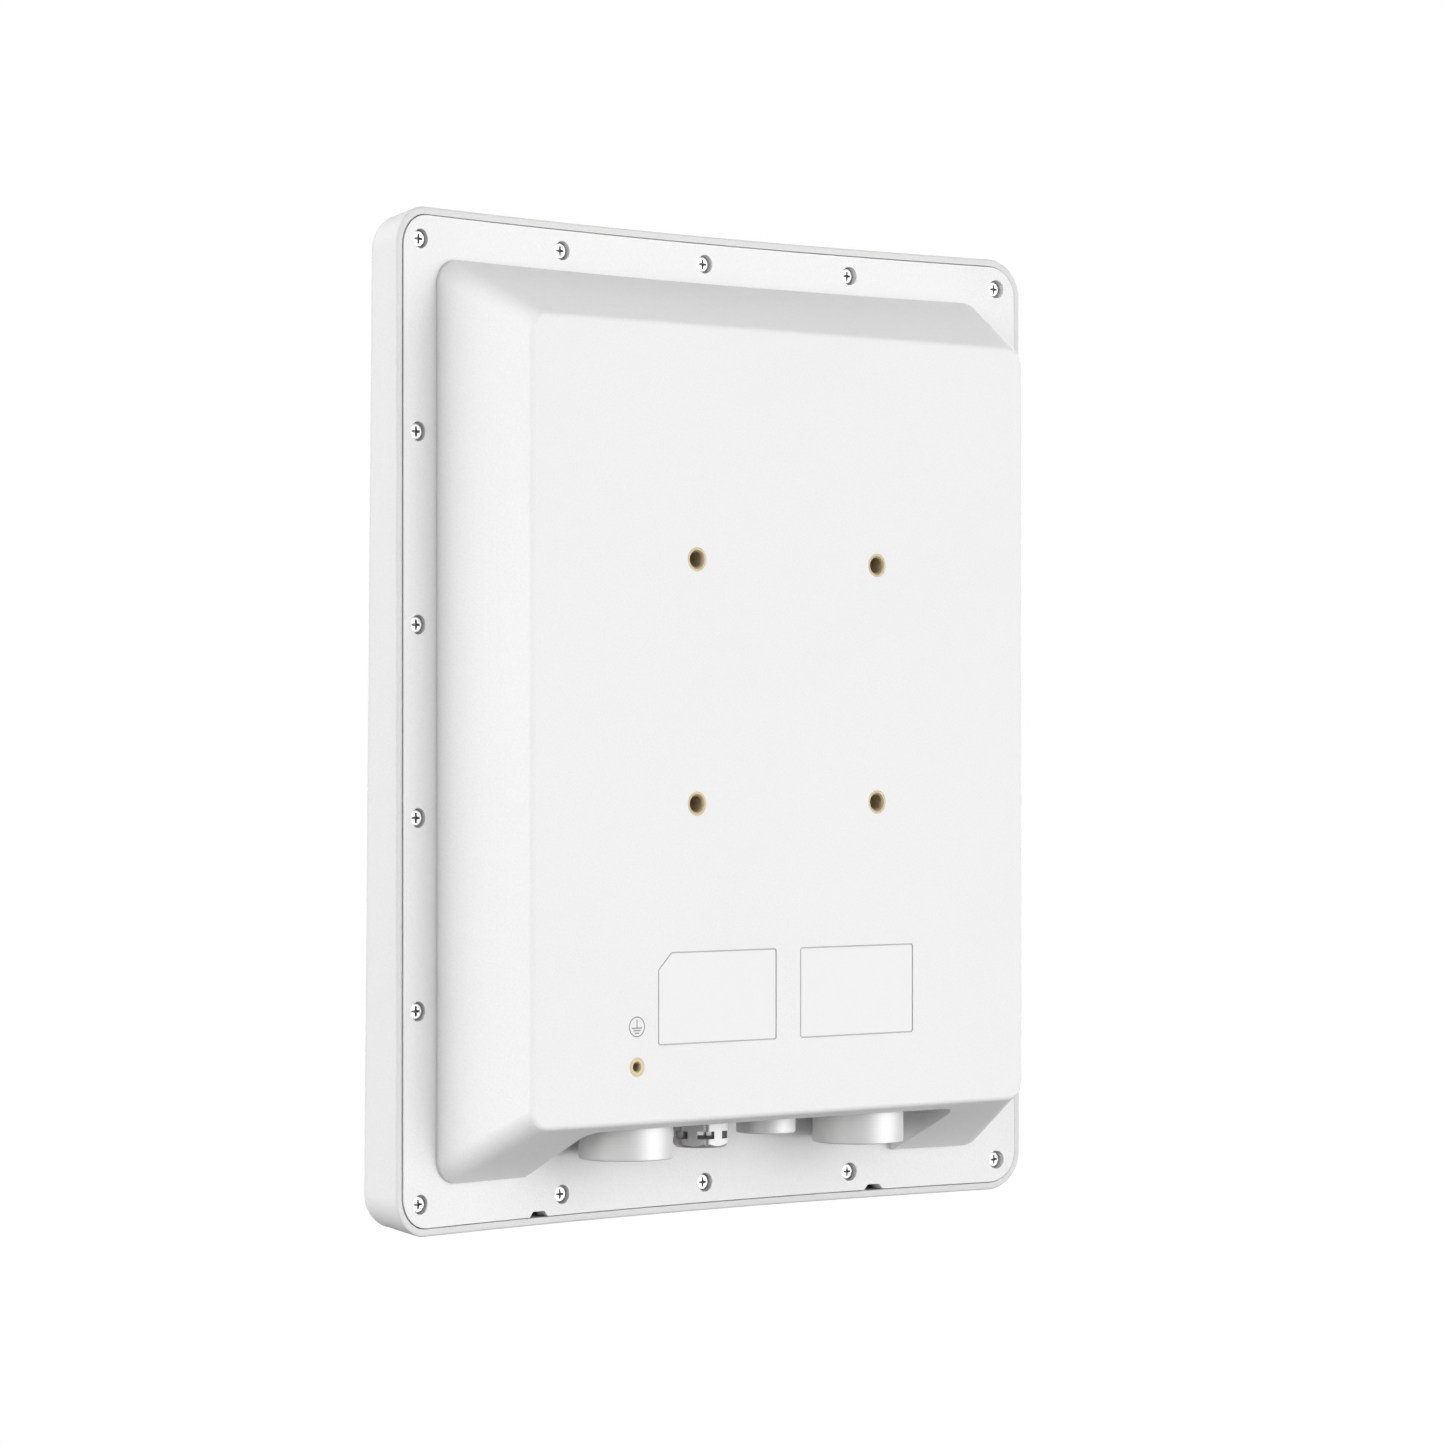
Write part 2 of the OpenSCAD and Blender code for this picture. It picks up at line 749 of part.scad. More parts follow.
module aux_nut() {
    color("#b9b9b7") translate([aux_port_x, port_y, 0])
        round_nut(9.5, aux_neck_r + 0.05, ceiling_z + ceiling_t, 3);
}

// ---- vent plug ----

// A six-sided head with a window at each corner, over a hollow neck
module vent_body() {
    head_r = 8.9;
    turn = 62;
    window_low = vent_low_z + 2.75;
    window_h = 2.4;
    chamfer = 1.2;
    groove = 0.45;
    seat = ceiling_z - vent_seat;
    color("#c4c4c2") translate([vent_x, port_y, 0]) rotate(turn) difference() {
        union() {
            intersection() {
                bar_z(vent_flats / sqrt(3), vent_low_z, seat, 6);
                union() {
                    bar_z(head_r, vent_low_z + chamfer, seat);
                    translate([0, 0, vent_low_z])
                        cylinder(r1 = head_r - chamfer, r2 = head_r, h = chamfer + 0.01, $fn = 96);
                }
            }
            bar_z(vent_neck_r, seat - 1, -123);
        }
        for (a = [0:60:300]) rotate(a) {
            block([4.6, -2.7, window_low], [12, 2.7, window_low + window_h]);
            translate([head_r, 0, 0]) rotate(45)
                block([-groove, -groove, vent_low_z - 1], [groove, groove, seat + 1]);
        }
        bar_z(vent_chamber_r, window_low, window_low + window_h + 2);
        bar_z(3.5, window_low + window_h, -120);
    }
}

module vent_membrane() {
    color("#ececea") translate([vent_x, port_y, 0])
        bar_z(vent_chamber_r - 0.1, vent_low_z + 6.65, vent_low_z + 7.1);
}

module vent_o_ring() {
    color("#2b2b2b") translate([vent_x, port_y, 0]) difference() {
        bar_z(7.6, ceiling_z - vent_seat, ceiling_z);
        bar_z(vent_neck_r + 0.15, ceiling_z - 2, ceiling_z + 1);
    }
}

module vent_nut() {
    color("#b9b9b7") translate([vent_x, port_y, 0]) difference() {
        bar_z(16 / sqrt(3), ceiling_z + ceiling_t, ceiling_z + ceiling_t + 3, 6);
        bar_z(vent_neck_r + 0.05, -135, -120);
    }
}

// ---- reader board ----

module reader_board() {
    a = board_size[0] / 2;
    b = board_size[1] / 2;
    color("#2f6b43") translate([0, 0, board_mid_z]) difference() {
        plate(board_y, board_y - board_t) round_rect(a, b, 3, 32);
        for (s = post_spots) translate([s[0], 0, s[1] - board_mid_z])
            bar_y(screw_hole_r, board_y + 1, board_y - board_t - 1);
    }
}

module board_screws() {
    color("#b9b9b7") for (s = post_spots) translate([s[0], board_y - board_t - 2, s[1]])
        rotate([0, 0, 180]) pan_screw(2.75, 2, 1.25, 7);
}

// A chip or case on the board's front side: middle [x, z], size [x, z, height]
module on_board(at, size) {
    low = board_y - board_t;
    block([at[0] - size[0] / 2, low - size[2], at[1] - size[1] / 2],
        [at[0] + size[0] / 2, low, at[1] + size[1] / 2]);
}

module board_components() {
    color("#33363a") {
        on_board([-30, 40], [23, 23, 2.2]);
        on_board([8, 48], [14, 11, 1.2]);
        on_board([8, 32], [14, 11, 1.2]);
        on_board([48, -58], [16, 12, 7]);
        on_board([-48, -58], [16, 12, 7]);
        on_board([60, 60], [13, 13, 6]);
        for (k = [0:5]) on_board([-62 + 7 * k, 12], [3.2, 1.6, 1]);
    }
    color("#8b8f93") for (x = [38, 50, 62]) translate([x, 0, 36])
        bar_y(4, board_y - board_t, board_y - board_t - 9);
}

module board_headers() {
    color("#e6e2d4") {
        for (x = [-1, 1]) on_board([x * data_port_x, -78], [20, 8, 7]);
        on_board([aux_port_x, -78], [12, 8, 7]);
    }
}

// Radio jacks: one on the reader board, one on the feed board, facing each other
module coax_jacks() {
    color("#c8a54a") {
        translate([0, board_y - board_t, coax_z]) coax_jack();
        translate([0, reflector_y + board_t, coax_z]) rotate([0, 0, 180]) coax_jack();
    }
}

module coax_jack() {
    block([-3, -2, -3], [3, 0, 3]);
    bar_y(2.2, -2, -4);
}

module rf_shield() {
    color("#b9bcbe") difference() {
        block([-29, board_y, -15], [29, board_y + 4.5, 31]);
        block([-28.7, board_y - 1, -14.7], [28.7, board_y + 4.2, 30.7]);
    }
}

module thermal_pad() {
    color("#8fa6b8") block([-25, board_y + 4.5, -11], [25, -14, 27]);
}

// ---- antenna ----

module reflector() {
    color("#c3c6c8") at_panel() difference() {
        plate(reflector_y, reflector_y - reflector_t)
            round_rect(reflector_size[0] / 2, reflector_size[1] / 2, 6);
        for (s = reflector_posts) translate([s[0], 0, s[1]])
            bar_y(screw_hole_r, through[0], through[1]);
        for (z = [-1, 1]) translate([0, 0, z * patch_mid]) {
            for (x = [-1, 1], k = [-1, 1]) translate([x * patch_hold, 0, k * patch_hold])
                bar_y(standoff_r + 0.1, through[0], through[1]);
            translate([0, 0, -z * feed_offset]) bar_y(2, through[0], through[1]);
        }
    }
}

module reflector_screws() {
    color("#b9b9b7") at_panel() for (s = reflector_posts) translate([s[0], reflector_y + 2, s[1]])
        pan_screw(2.75, 2, 1.2, 4.5);
}

module patch(side) {
    color("#c8cacc") at_panel() translate([0, 0, side * patch_mid]) difference() {
        plate(patch_y, patch_y - patch_t) difference() {
            square(patch_size, center = true);
            for (a = [0, 180]) rotate(a) translate([patch_size / 2, patch_size / 2])
                rotate(45) square([60, 22], center = true);
        }
        for (x = [-1, 1], k = [-1, 1]) translate([x * patch_hold, 0, k * patch_hold])
            bar_y(standoff_r + 0.1, through[0], through[1]);
        translate([0, 0, -side * feed_offset]) bar_y(feed_pin_r + 0.05, through[0], through[1], 24);
    }
}

module patch_upper() {
    patch(1);
}

module patch_lower() {
    patch(-1);
}

// Nylon standoffs: a collar between reflector and patch, a snap head on each side
module patch_standoffs() {
    color("#e9e9e4") at_panel() for (z = [-1, 1], x = [-1, 1], k = [-1, 1])
        translate([x * patch_hold, 0, z * patch_mid + k * patch_hold]) {
            bar_y(3.5, reflector_y - reflector_t, patch_y);
            bar_y(standoff_r, reflector_y + 1.4, patch_y - patch_t - 1.2);
            bar_y(2.9, reflector_y + 1.4, reflector_y + 0.1);
            bar_y(2.9, patch_y - patch_t - 0.1, patch_y - patch_t - 1.2);
        }
}

module feed_board() {
    color("#2f6b43") at_panel() difference() {
        plate(reflector_y + board_t, reflector_y) round_rect(12, 56, 2, 32);
        for (z = [-1, 1]) translate([0, 0, z * (patch_mid - feed_offset)])
            bar_y(feed_pin_r + 0.05, through[0], through[1], 24);
    }
}

module feed_pins() {
    color("#c8a54a") at_panel() for (z = [-1, 1]) translate([0, 0, z * (patch_mid - feed_offset)])
        bar_y(feed_pin_r, reflector_y + 2.4, patch_y - patch_t - 0.6, 24);
}

// ---- inside leads ----

// Coax lead: out of one right-angle plug, round a half circle and back into the other
module coax_lead() {
    y0 = board_y - board_t - 5.4;
    y1 = reflector_y + board_t + 5.4;
    bend = (y0 - y1) / 2;
    z0 = coax_z;
    z1 = z0 + 16;
    color("#3a3c3e") {
        for (y = [y0, y1]) translate([0, y, 0]) bar_z(lead_r, z0 + 2.4, z1, 24);
        translate([0, (y0 + y1) / 2, z1]) rotate([0, 90, 0]) rotate([0, 0, 90])
            rotate_extrude(angle = 180, $fn = 48) translate([bend, 0]) circle(r = lead_r, $fn = 24);
        translate([0, y0, z0]) bar_y(2.5, 1.4, -1.6);
        translate([0, y1, z0]) bar_y(2.5, 1.6, -1.4);
    }
}

module data_lead(x) {
    color("#3a3c3e") translate([x, port_y - 3.2, 0]) bar_z(2.5, data_jack_top, lead_top_z, 32);
}

module data_lead_left() {
    data_lead(data_port_x);
}

module data_lead_right() {
    data_lead(-data_port_x);
}

module aux_lead() {
    color("#3a3c3e") translate([aux_port_x, port_y - 3, 0]) bar_z(1.8, aux_top_z, lead_top_z, 32);
}

front_shell();
shell_inserts();
rim_gasket();
rear_cover();
cover_screws();
mount_inserts();
earth_insert();
blank_label_left();
blank_label_right();
data_collar_left();
data_collar_right();
data_jack_left();
data_jack_right();
data_contacts_left();
data_contacts_right();
data_gasket_left();
data_gasket_right();
data_nut_left();
data_nut_right();
aux_collar();
aux_insulator();
aux_contacts();
aux_gasket();
aux_nut();
vent_body();
vent_membrane();
vent_o_ring();
vent_nut();
reader_board();
board_components();
board_headers();
coax_jacks();
rf_shield();
thermal_pad();
board_screws();
reflector();
reflector_screws();
patch_upper();
patch_lower();
patch_standoffs();
feed_board();
feed_pins();
coax_lead();
data_lead_left();
data_lead_right();
aux_lead();
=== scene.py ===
import math

import bmesh
import bpy
import numpy as np
from mathutils import Matrix, Vector


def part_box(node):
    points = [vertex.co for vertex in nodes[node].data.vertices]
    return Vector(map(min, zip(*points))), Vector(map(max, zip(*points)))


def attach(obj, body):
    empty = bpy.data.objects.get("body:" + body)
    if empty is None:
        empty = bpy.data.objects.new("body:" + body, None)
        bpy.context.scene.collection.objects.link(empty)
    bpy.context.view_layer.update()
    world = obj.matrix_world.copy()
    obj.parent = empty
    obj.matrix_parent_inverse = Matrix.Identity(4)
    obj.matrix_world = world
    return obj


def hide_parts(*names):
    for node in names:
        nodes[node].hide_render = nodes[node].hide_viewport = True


# The reader panel of a security gate: white shell in front, white cast cover behind.
# Metres throughout. The rear of the panel faces +Y, the front -Y, and +Z is up.

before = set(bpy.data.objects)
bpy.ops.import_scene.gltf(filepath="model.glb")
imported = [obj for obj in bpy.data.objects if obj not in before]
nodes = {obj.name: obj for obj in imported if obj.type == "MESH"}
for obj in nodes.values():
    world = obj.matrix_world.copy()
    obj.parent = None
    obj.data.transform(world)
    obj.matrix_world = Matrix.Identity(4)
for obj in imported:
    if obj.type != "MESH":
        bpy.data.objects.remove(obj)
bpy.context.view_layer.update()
mm = 0.001
panelLow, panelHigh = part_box("front_shell")
panelMiddle = (panelLow + panelHigh) / 2
panelHalf = (panelHigh - panelLow) / 2
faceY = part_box("rear_cover")[1].y
print("frame loaded:", len(nodes), "nodes")


# Camera, light and floor.

viewLook = {
    "place": (0.98081, 1.10457, -0.02102),
    "yaw": math.radians(40.805),
    "pitch": math.radians(0.333),
    "lens": 117.99,
    "sensor": 36,
}


def placeCamera(look):
    # the camera stands behind the panel; yaw 0 looks straight at the rear face, pitch tilts the view up
    yaw, pitch = look["yaw"], look["pitch"]
    level = math.cos(pitch)
    ahead = Vector((-math.sin(yaw) * level, -math.cos(yaw) * level, math.sin(pitch)))
    right = Vector((-math.cos(yaw), math.sin(yaw), 0))
    up = right.cross(ahead)
    data = bpy.data.cameras.new("camera")
    data.lens = look["lens"]
    data.sensor_width = look["sensor"]
    camera = bpy.data.objects.new("camera", data)
    bpy.context.scene.collection.objects.link(camera)
    turn = Matrix((right, up, -ahead)).transposed().to_4x4()
    camera.matrix_world = Matrix.Translation(look["place"]) @ turn
    bpy.context.scene.camera = camera


# Soft lights: direction and level. Off its direction each one fades as e to the power of
# spread x (cosine of the angle off it - 1); gain scales them all.
roomLook = {
    "behind": [((-0.5, 0.866, 0), 6.50), ((0.5, 0.866, 0), 0.40), ((-0.44, 0.76, -0.47), 0.59),
               ((0, 0.883, 0.47), 0.98)],
    "beside": [((1, 0, 0), 4.90), ((0.883, 0, 0.47), 1.20), ((0.87, -0.5, 0), 1.20),
               ((-0.87, -0.5, 0), 1.20)],
    "inFront": [((-0.707, -0.707, 0), 2.40), ((0.44, -0.76, 0.47), 1.60), ((0.76, -0.44, 0.47), 1.20),
                ((-0.76, -0.44, 0.47), 1.20), ((0, -0.5, 0.87), 1.20)],
    "spread": 12, "gain": 1.02, "floorDrop": 1.3, "floorSize": 60,
}


def placeRoom(look, target):
    # the room's brightness is the sum of the soft lights; the camera itself sees plain white
    world = bpy.data.worlds.new("room")
    bpy.context.scene.world = world
    world.use_nodes = True
    tree = world.node_tree
    tree.nodes.clear()
    add = tree.nodes.new
    link = tree.links.new
    way = add("ShaderNodeTexCoord")
    total = None
    for direction, level in look["behind"] + look["beside"] + look["inFront"]:
        near = add("ShaderNodeVectorMath")
        near.operation = "DOT_PRODUCT"
        near.inputs[1].default_value = direction
        link(way.outputs["Generated"], near.inputs[0])
        last = near.outputs["Value"]
        steps = [("SUBTRACT", 1), ("MULTIPLY", look["spread"]), ("EXPONENT", None),
                 ("MULTIPLY", level * look["gain"])]
        for operation, number in steps:
            step = add("ShaderNodeMath")
            step.operation = operation
            link(last, step.inputs[0])
            if number is not None:
                step.inputs[1].default_value = number
            last = step.outputs[0]
        if total:
            both = add("ShaderNodeMath")
            both.operation = "ADD"
            link(total, both.inputs[0])
            link(last, both.inputs[1])
            last = both.outputs[0]
        total = last
    path = add("ShaderNodeLightPath")
    pick = add("ShaderNodeMix")
    pick.inputs["B"].default_value = 1
    sky = add("ShaderNodeBackground")
    sky.inputs["Color"].default_value = (1, 1, 1, 1)
    out = add("ShaderNodeOutputWorld")
    link(total, pick.inputs["A"])
    link(path.outputs["Is Camera Ray"], pick.inputs["Factor"])
    link(pick.outputs["Result"], sky.inputs["Strength"])
    link(sky.outputs[0], out.inputs["Surface"])

    half = look["floorSize"] / 2
    low = target.z - look["floorDrop"]
    corners = [(-half, -half, low), (half, -half, low), (half, half, low), (-half, half, low)]
    mesh = bpy.data.meshes.new("floor")
    mesh.from_pydata(corners, [], [(0, 1, 2, 3)])
    floor = bpy.data.objects.new("floor", mesh)
    bpy.context.scene.collection.objects.link(floor)
    # a plain white card that neither shades nor lights the panel
    floor.visible_diffuse = False
    floor.visible_glossy = False
    floor.visible_shadow = False
    floorFinish = bpy.data.materials.new("paleFloor")
    floorFinish.use_nodes = True
    tree = floorFinish.node_tree
    tree.nodes.clear()
    glow = tree.nodes.new("ShaderNodeEmission")
    out = tree.nodes.new("ShaderNodeOutputMaterial")
    tree.links.new(glow.outputs[0], out.inputs["Surface"])
    mesh.materials.append(floorFinish)


placeCamera(viewLook)
placeRoom(roomLook, panelMiddle)
bpy.context.scene.view_settings.view_transform = "Standard"
print("camera, light and floor placed")


# Shared surface effects.
# Every effect group takes a Vector and sizes, and gives Tone and Gloss from 0 to 1 and a Height.

noiseSpan = (0.3, 0.7)  # a noise seldom leaves this range


def effectGroup(name, sizes):
    # an empty group with its sockets, and the nodes at its start and end
    group = bpy.data.node_groups.new(name, "ShaderNodeTree")
    group.interface.new_socket("Vector", in_out="INPUT", socket_type="NodeSocketVector")
    for label, value in sizes.items():
        socket = group.interface.new_socket(label, in_out="INPUT", socket_type="NodeSocketFloat")
        socket.default_value = value
    for label in ["Tone", "Gloss", "Height"]:
        group.interface.new_socket(label, in_out="OUTPUT", socket_type="NodeSocketFloat")
    return group, group.nodes.new("NodeGroupInput"), group.nodes.new("NodeGroupOutput")


def noiseIn(group, vector, scale, detail=2, roughness=0.5):
    # a noise whose scale comes from the given socket
    node = group.nodes.new("ShaderNodeTexNoise")
    node.inputs["Detail"].default_value = detail
    node.inputs["Roughness"].default_value = roughness
    group.links.new(vector, node.inputs["Vector"])
    group.links.new(scale, node.inputs["Scale"])
    return node.outputs[0]


def mathIn(group, operation, a, b=None):
    # each of a and b is a socket or a plain number
    node = group.nodes.new("ShaderNodeMath")
    node.operation = operation
    for k, value in enumerate([a, b]):
        if value is None:
            continue
        if isinstance(value, (int, float)):
            node.inputs[k].default_value = value
        else:
            group.links.new(value, node.inputs[k])
    return node.outputs[0]


def rangeIn(group, value, low, high):
    # the share of the way from low to high, held between 0 and 1
    node = group.nodes.new("ShaderNodeMapRange")
    node.inputs["From Min"].default_value = low
    node.inputs["From Max"].default_value = high
    group.links.new(value, node.inputs["Value"])
    return node.outputs[0]


def blendIn(group, a, b, share):
    # share x a + (1 - share) x b
    first = mathIn(group, "MULTIPLY", a, share)
    return mathIn(group, "ADD", first, mathIn(group, "MULTIPLY", b, 1 - share))


def finishGroup(group, ends, tone, gloss, height):
    # join the three results to the group's outputs
    for label, value in [("Tone", tone), ("Gloss", gloss), ("Height", height)]:
        group.links.new(value, ends.inputs[label])
    return group


def makePowderTexture():
    # powder coat: fine grains over a slow orange peel, with a faint cloudiness in the colour
    group, start, ends = effectGroup("powderTexture", {"Grains": 1500, "Peel": 260, "Cloud": 14})
    vector = start.outputs["Vector"]
    grains = noiseIn(group, vector, start.outputs["Grains"], 3, 0.6)
    peel = noiseIn(group, vector, start.outputs["Peel"], 1)
    cloud = noiseIn(group, vector, start.outputs["Cloud"], 2)
    fine = rangeIn(group, grains, 0.35, 0.65)
    tone = blendIn(group, fine, cloud, 0.6)
    height = blendIn(group, fine, peel, 0.55)
    return finishGroup(group, ends, tone, rangeIn(group, peel, *noiseSpan), height)


def makeTurnedRings():
    # tool marks left by a lathe: noise that depends only on the distance from the axis and the height
    group, start, ends = effectGroup("turnedRings", {"Marks": 2600, "Smudges": 120})
    parts = group.nodes.new("ShaderNodeSeparateXYZ")
    group.links.new(start.outputs["Vector"], parts.inputs[0])
    squares = [mathIn(group, "MULTIPLY", parts.outputs[axis], parts.outputs[axis]) for axis in "XY"]
    radius = mathIn(group, "SQRT", mathIn(group, "ADD", *squares))
    flat = group.nodes.new("ShaderNodeCombineXYZ")
    group.links.new(radius, flat.inputs["X"])
    group.links.new(parts.outputs["Z"], flat.inputs["Z"])
    marks = noiseIn(group, flat.outputs[0], start.outputs["Marks"], 3, 0.65)
    smudges = noiseIn(group, start.outputs["Vector"], start.outputs["Smudges"], 3)
    tone = rangeIn(group, blendIn(group, marks, smudges, 0.5), *noiseSpan)
    return finishGroup(group, ends, tone, rangeIn(group, smudges, *noiseSpan), marks)


def makeBrushedStreaks():
    # rolled sheet: long thin streaks along one axis, broken by slow blotches
    group, start, ends = effectGroup("brushedStreaks", {"Streaks": 3000, "Blotches": 40})
    stretch = group.nodes.new("ShaderNodeMapping")
    stretch.inputs["Scale"].default_value = (1, 1, 0.02)
    group.links.new(start.outputs["Vector"], stretch.inputs["Vector"])
    streaks = noiseIn(group, stretch.outputs[0], start.outputs["Streaks"], 2, 0.6)
    blotches = noiseIn(group, start.outputs["Vector"], start.outputs["Blotches"], 3)
    tone = rangeIn(group, blendIn(group, streaks, blotches, 0.6), *noiseSpan)
    return finishGroup(group, ends, tone, rangeIn(group, streaks, *noiseSpan), streaks)


def makeMouldedGrain():
    # moulded plastic and rubber: a dry pebble grain with a few specks of dust
    group, start, ends = effectGroup("mouldedGrain", {"Pebbles": 1800, "Dust": 400})
    vector = start.outputs["Vector"]
    pebbles = group.nodes.new("ShaderNodeTexVoronoi")
    group.links.new(vector, pebbles.inputs["Vector"])
    group.links.new(start.outputs["Pebbles"], pebbles.inputs["Scale"])
    dust = noiseIn(group, vector, start.outputs["Dust"], 4, 0.7)
    specks = rangeIn(group, dust, 0.58, 0.72)
    tone = blendIn(group, dust, specks, 0.5)
    return finishGroup(group, ends, tone, rangeIn(group, dust, *noiseSpan), pebbles.outputs["Distance"])


def makeBoardTracks():
    # circuit board: solder mask over copper tracks laid on two crossed grids, with plated dots
    group, start, ends = effectGroup("boardTracks", {"Tracks": 420, "Dots": 300})
    lines = []
    for squeeze in [(1, 1, 0.08), (0.08, 1, 1)]:
        stretch = group.nodes.new("ShaderNodeMapping")
        stretch.inputs["Scale"].default_value = squeeze
        group.links.new(start.outputs["Vector"], stretch.inputs["Vector"])
        run = group.nodes.new("ShaderNodeTexVoronoi")
        run.distance = "CHEBYCHEV"
        group.links.new(stretch.outputs[0], run.inputs["Vector"])
        group.links.new(start.outputs["Tracks"], run.inputs["Scale"])
        lines.append(rangeIn(group, run.outputs["Distance"], 0.34, 0.28))
    tracks = mathIn(group, "MAXIMUM", lines[0], lines[1])
    dots = group.nodes.new("ShaderNodeTexVoronoi")
    group.links.new(start.outputs["Vector"], dots.inputs["Vector"])
    group.links.new(start.outputs["Dots"], dots.inputs["Scale"])
    plated = rangeIn(group, dots.outputs["Distance"], 0.16, 0.12)
    tone = mathIn(group, "MAXIMUM", mathIn(group, "MULTIPLY", tracks, 0.4), plated)
    return finishGroup(group, ends, tone, tracks, mathIn(group, "MAXIMUM", tracks, plated))


makers = [makePowderTexture, makeTurnedRings, makeBrushedStreaks, makeMouldedGrain, makeBoardTracks]
effects = {group.name: group for group in [maker() for maker in makers]}
print("surface effects built:", len(effects))


# Finishes: effect, two colours that Tone mixes, roughness range, bump height in mm, metallic share,
# specular level, and the effect's sizes where they differ from its own.

finishLook = {
    # the shell's white is the cover's paint made darker: painted shade, so the shell's side wall reads less
    # lit
    "shellPaintShaded": dict(effect="powderTexture", dark=(0.555, 0.555, 0.552), light=(0.600, 0.600, 0.597),
                       rough=(0.50, 0.60), bump=0.045, specular=0.25),
    "coverPaint": dict(effect="powderTexture", dark=(0.655, 0.655, 0.652), light=(0.705, 0.705, 0.702),
                       rough=(0.50, 0.60), bump=0.045, specular=0.25),
    "brassInsert": dict(effect="turnedRings", dark=(0.55, 0.38, 0.16), light=(0.78, 0.58, 0.28),
                        rough=(0.22, 0.38), bump=0.010, metallic=1),
    "sealRubber": dict(effect="mouldedGrain", dark=(0.012, 0.012, 0.013), light=(0.035, 0.035, 0.036),
                       rough=(0.6, 0.8), bump=0.020),
    "screwSteel": dict(effect="turnedRings", dark=(0.72, 0.72, 0.715), light=(0.84, 0.84, 0.835),
                       rough=(0.34, 0.46), bump=0.006, metallic=0.6),
    # painted shade: a darker steel for the faces down in the screws' cross recesses
    "recessPaintedShade": dict(effect="turnedRings", dark=(0.20, 0.20, 0.20), light=(0.30, 0.30, 0.295),
                        rough=(0.45, 0.60), bump=0.004, metallic=0.4),
    "bareRing": dict(effect="turnedRings", dark=(0.42, 0.335, 0.20), light=(0.52, 0.43, 0.275),
                     rough=(0.46, 0.60), bump=0.008, metallic=0.25),
    "labelFilm": dict(effect="powderTexture", dark=(0.665, 0.665, 0.662), light=(0.695, 0.695, 0.692),
                      rough=(0.48, 0.56), bump=0.006, specular=0.25, sizes={"Grains": 2600}),
    "collarMetal": dict(effect="turnedRings", dark=(0.56, 0.56, 0.56), light=(0.66, 0.66, 0.655),
                        rough=(0.52, 0.62), bump=0.012, metallic=0.35),
    "connectorPlastic": dict(effect="mouldedGrain", dark=(0.014, 0.015, 0.016), light=(0.05, 0.05, 0.052),
                             rough=(0.42, 0.6), bump=0.010),
    "contactGold": dict(effect="turnedRings", dark=(0.72, 0.50, 0.16), light=(0.95, 0.72, 0.30),
                        rough=(0.16, 0.28), bump=0.004, metallic=1),
    "nutMetal": dict(effect="turnedRings", dark=(0.55, 0.55, 0.54), light=(0.72, 0.72, 0.71),
                     rough=(0.28, 0.42), bump=0.010, metallic=1),
    "ventMetal": dict(effect="turnedRings", dark=(0.40, 0.40, 0.395), light=(0.50, 0.50, 0.495),
                      rough=(0.42, 0.54), bump=0.008, metallic=0.5),
    "membrane": dict(effect="mouldedGrain", dark=(0.70, 0.70, 0.69), light=(0.88, 0.88, 0.87),
                     rough=(0.7, 0.9), bump=0.015, sizes={"Pebbles": 4200}),
    "circuitBoard": dict(effect="boardTracks", dark=(0.018, 0.10, 0.04), light=(0.30, 0.42, 0.16),
                         rough=(0.28, 0.40), bump=0.030),
    "chipPlastic": dict(effect="mouldedGrain", dark=(0.015, 0.015, 0.016), light=(0.06, 0.06, 0.06),
                        rough=(0.45, 0.62), bump=0.010, sizes={"Pebbles": 5200}),
    "headerPlastic": dict(effect="mouldedGrain", dark=(0.60, 0.57, 0.47), light=(0.76, 0.73, 0.62),
                          rough=(0.38, 0.52), bump=0.008),
    "shieldSteel": dict(effect="brushedStreaks", dark=(0.50, 0.50, 0.49), light=(0.72, 0.72, 0.71),
                        rough=(0.24, 0.42), bump=0.008, metallic=1),
    "thermalPad": dict(effect="mouldedGrain", dark=(0.18, 0.25, 0.34), light=(0.30, 0.39, 0.48),
                       rough=(0.6, 0.75), bump=0.020),
    "reflectorSheet": dict(effect="brushedStreaks", dark=(0.55, 0.56, 0.57), light=(0.78, 0.79, 0.80),
                           rough=(0.26, 0.42), bump=0.008, metallic=1),
    "patchSheet": dict(effect="brushedStreaks", dark=(0.62, 0.60, 0.55), light=(0.82, 0.80, 0.74),
                       rough=(0.22, 0.36), bump=0.006, metallic=1),
    "nylon": dict(effect="mouldedGrain", dark=(0.68, 0.68, 0.64), light=(0.82, 0.82, 0.78),
                  rough=(0.4, 0.55), bump=0.010),
    "leadJacket": dict(effect="mouldedGrain", dark=(0.02, 0.02, 0.022), light=(0.06, 0.06, 0.062),
                       rough=(0.45, 0.6), bump=0.010),
    # painted shade for the gap round each label
    "labelGapShade": dict(effect="mouldedGrain", dark=(0.38, 0.38, 0.38), light=(0.44, 0.44, 0.44),
                        rough=(0.6, 0.7), bump=0.002, specular=0.25),
    # painted shade: a dark fill for the grooves of the earth mark
    "markGrooveShade": dict(effect="mouldedGrain", dark=(0.14, 0.14, 0.145), light=(0.22, 0.22, 0.225),
                    rough=(0.5, 0.6), bump=0.002),
}


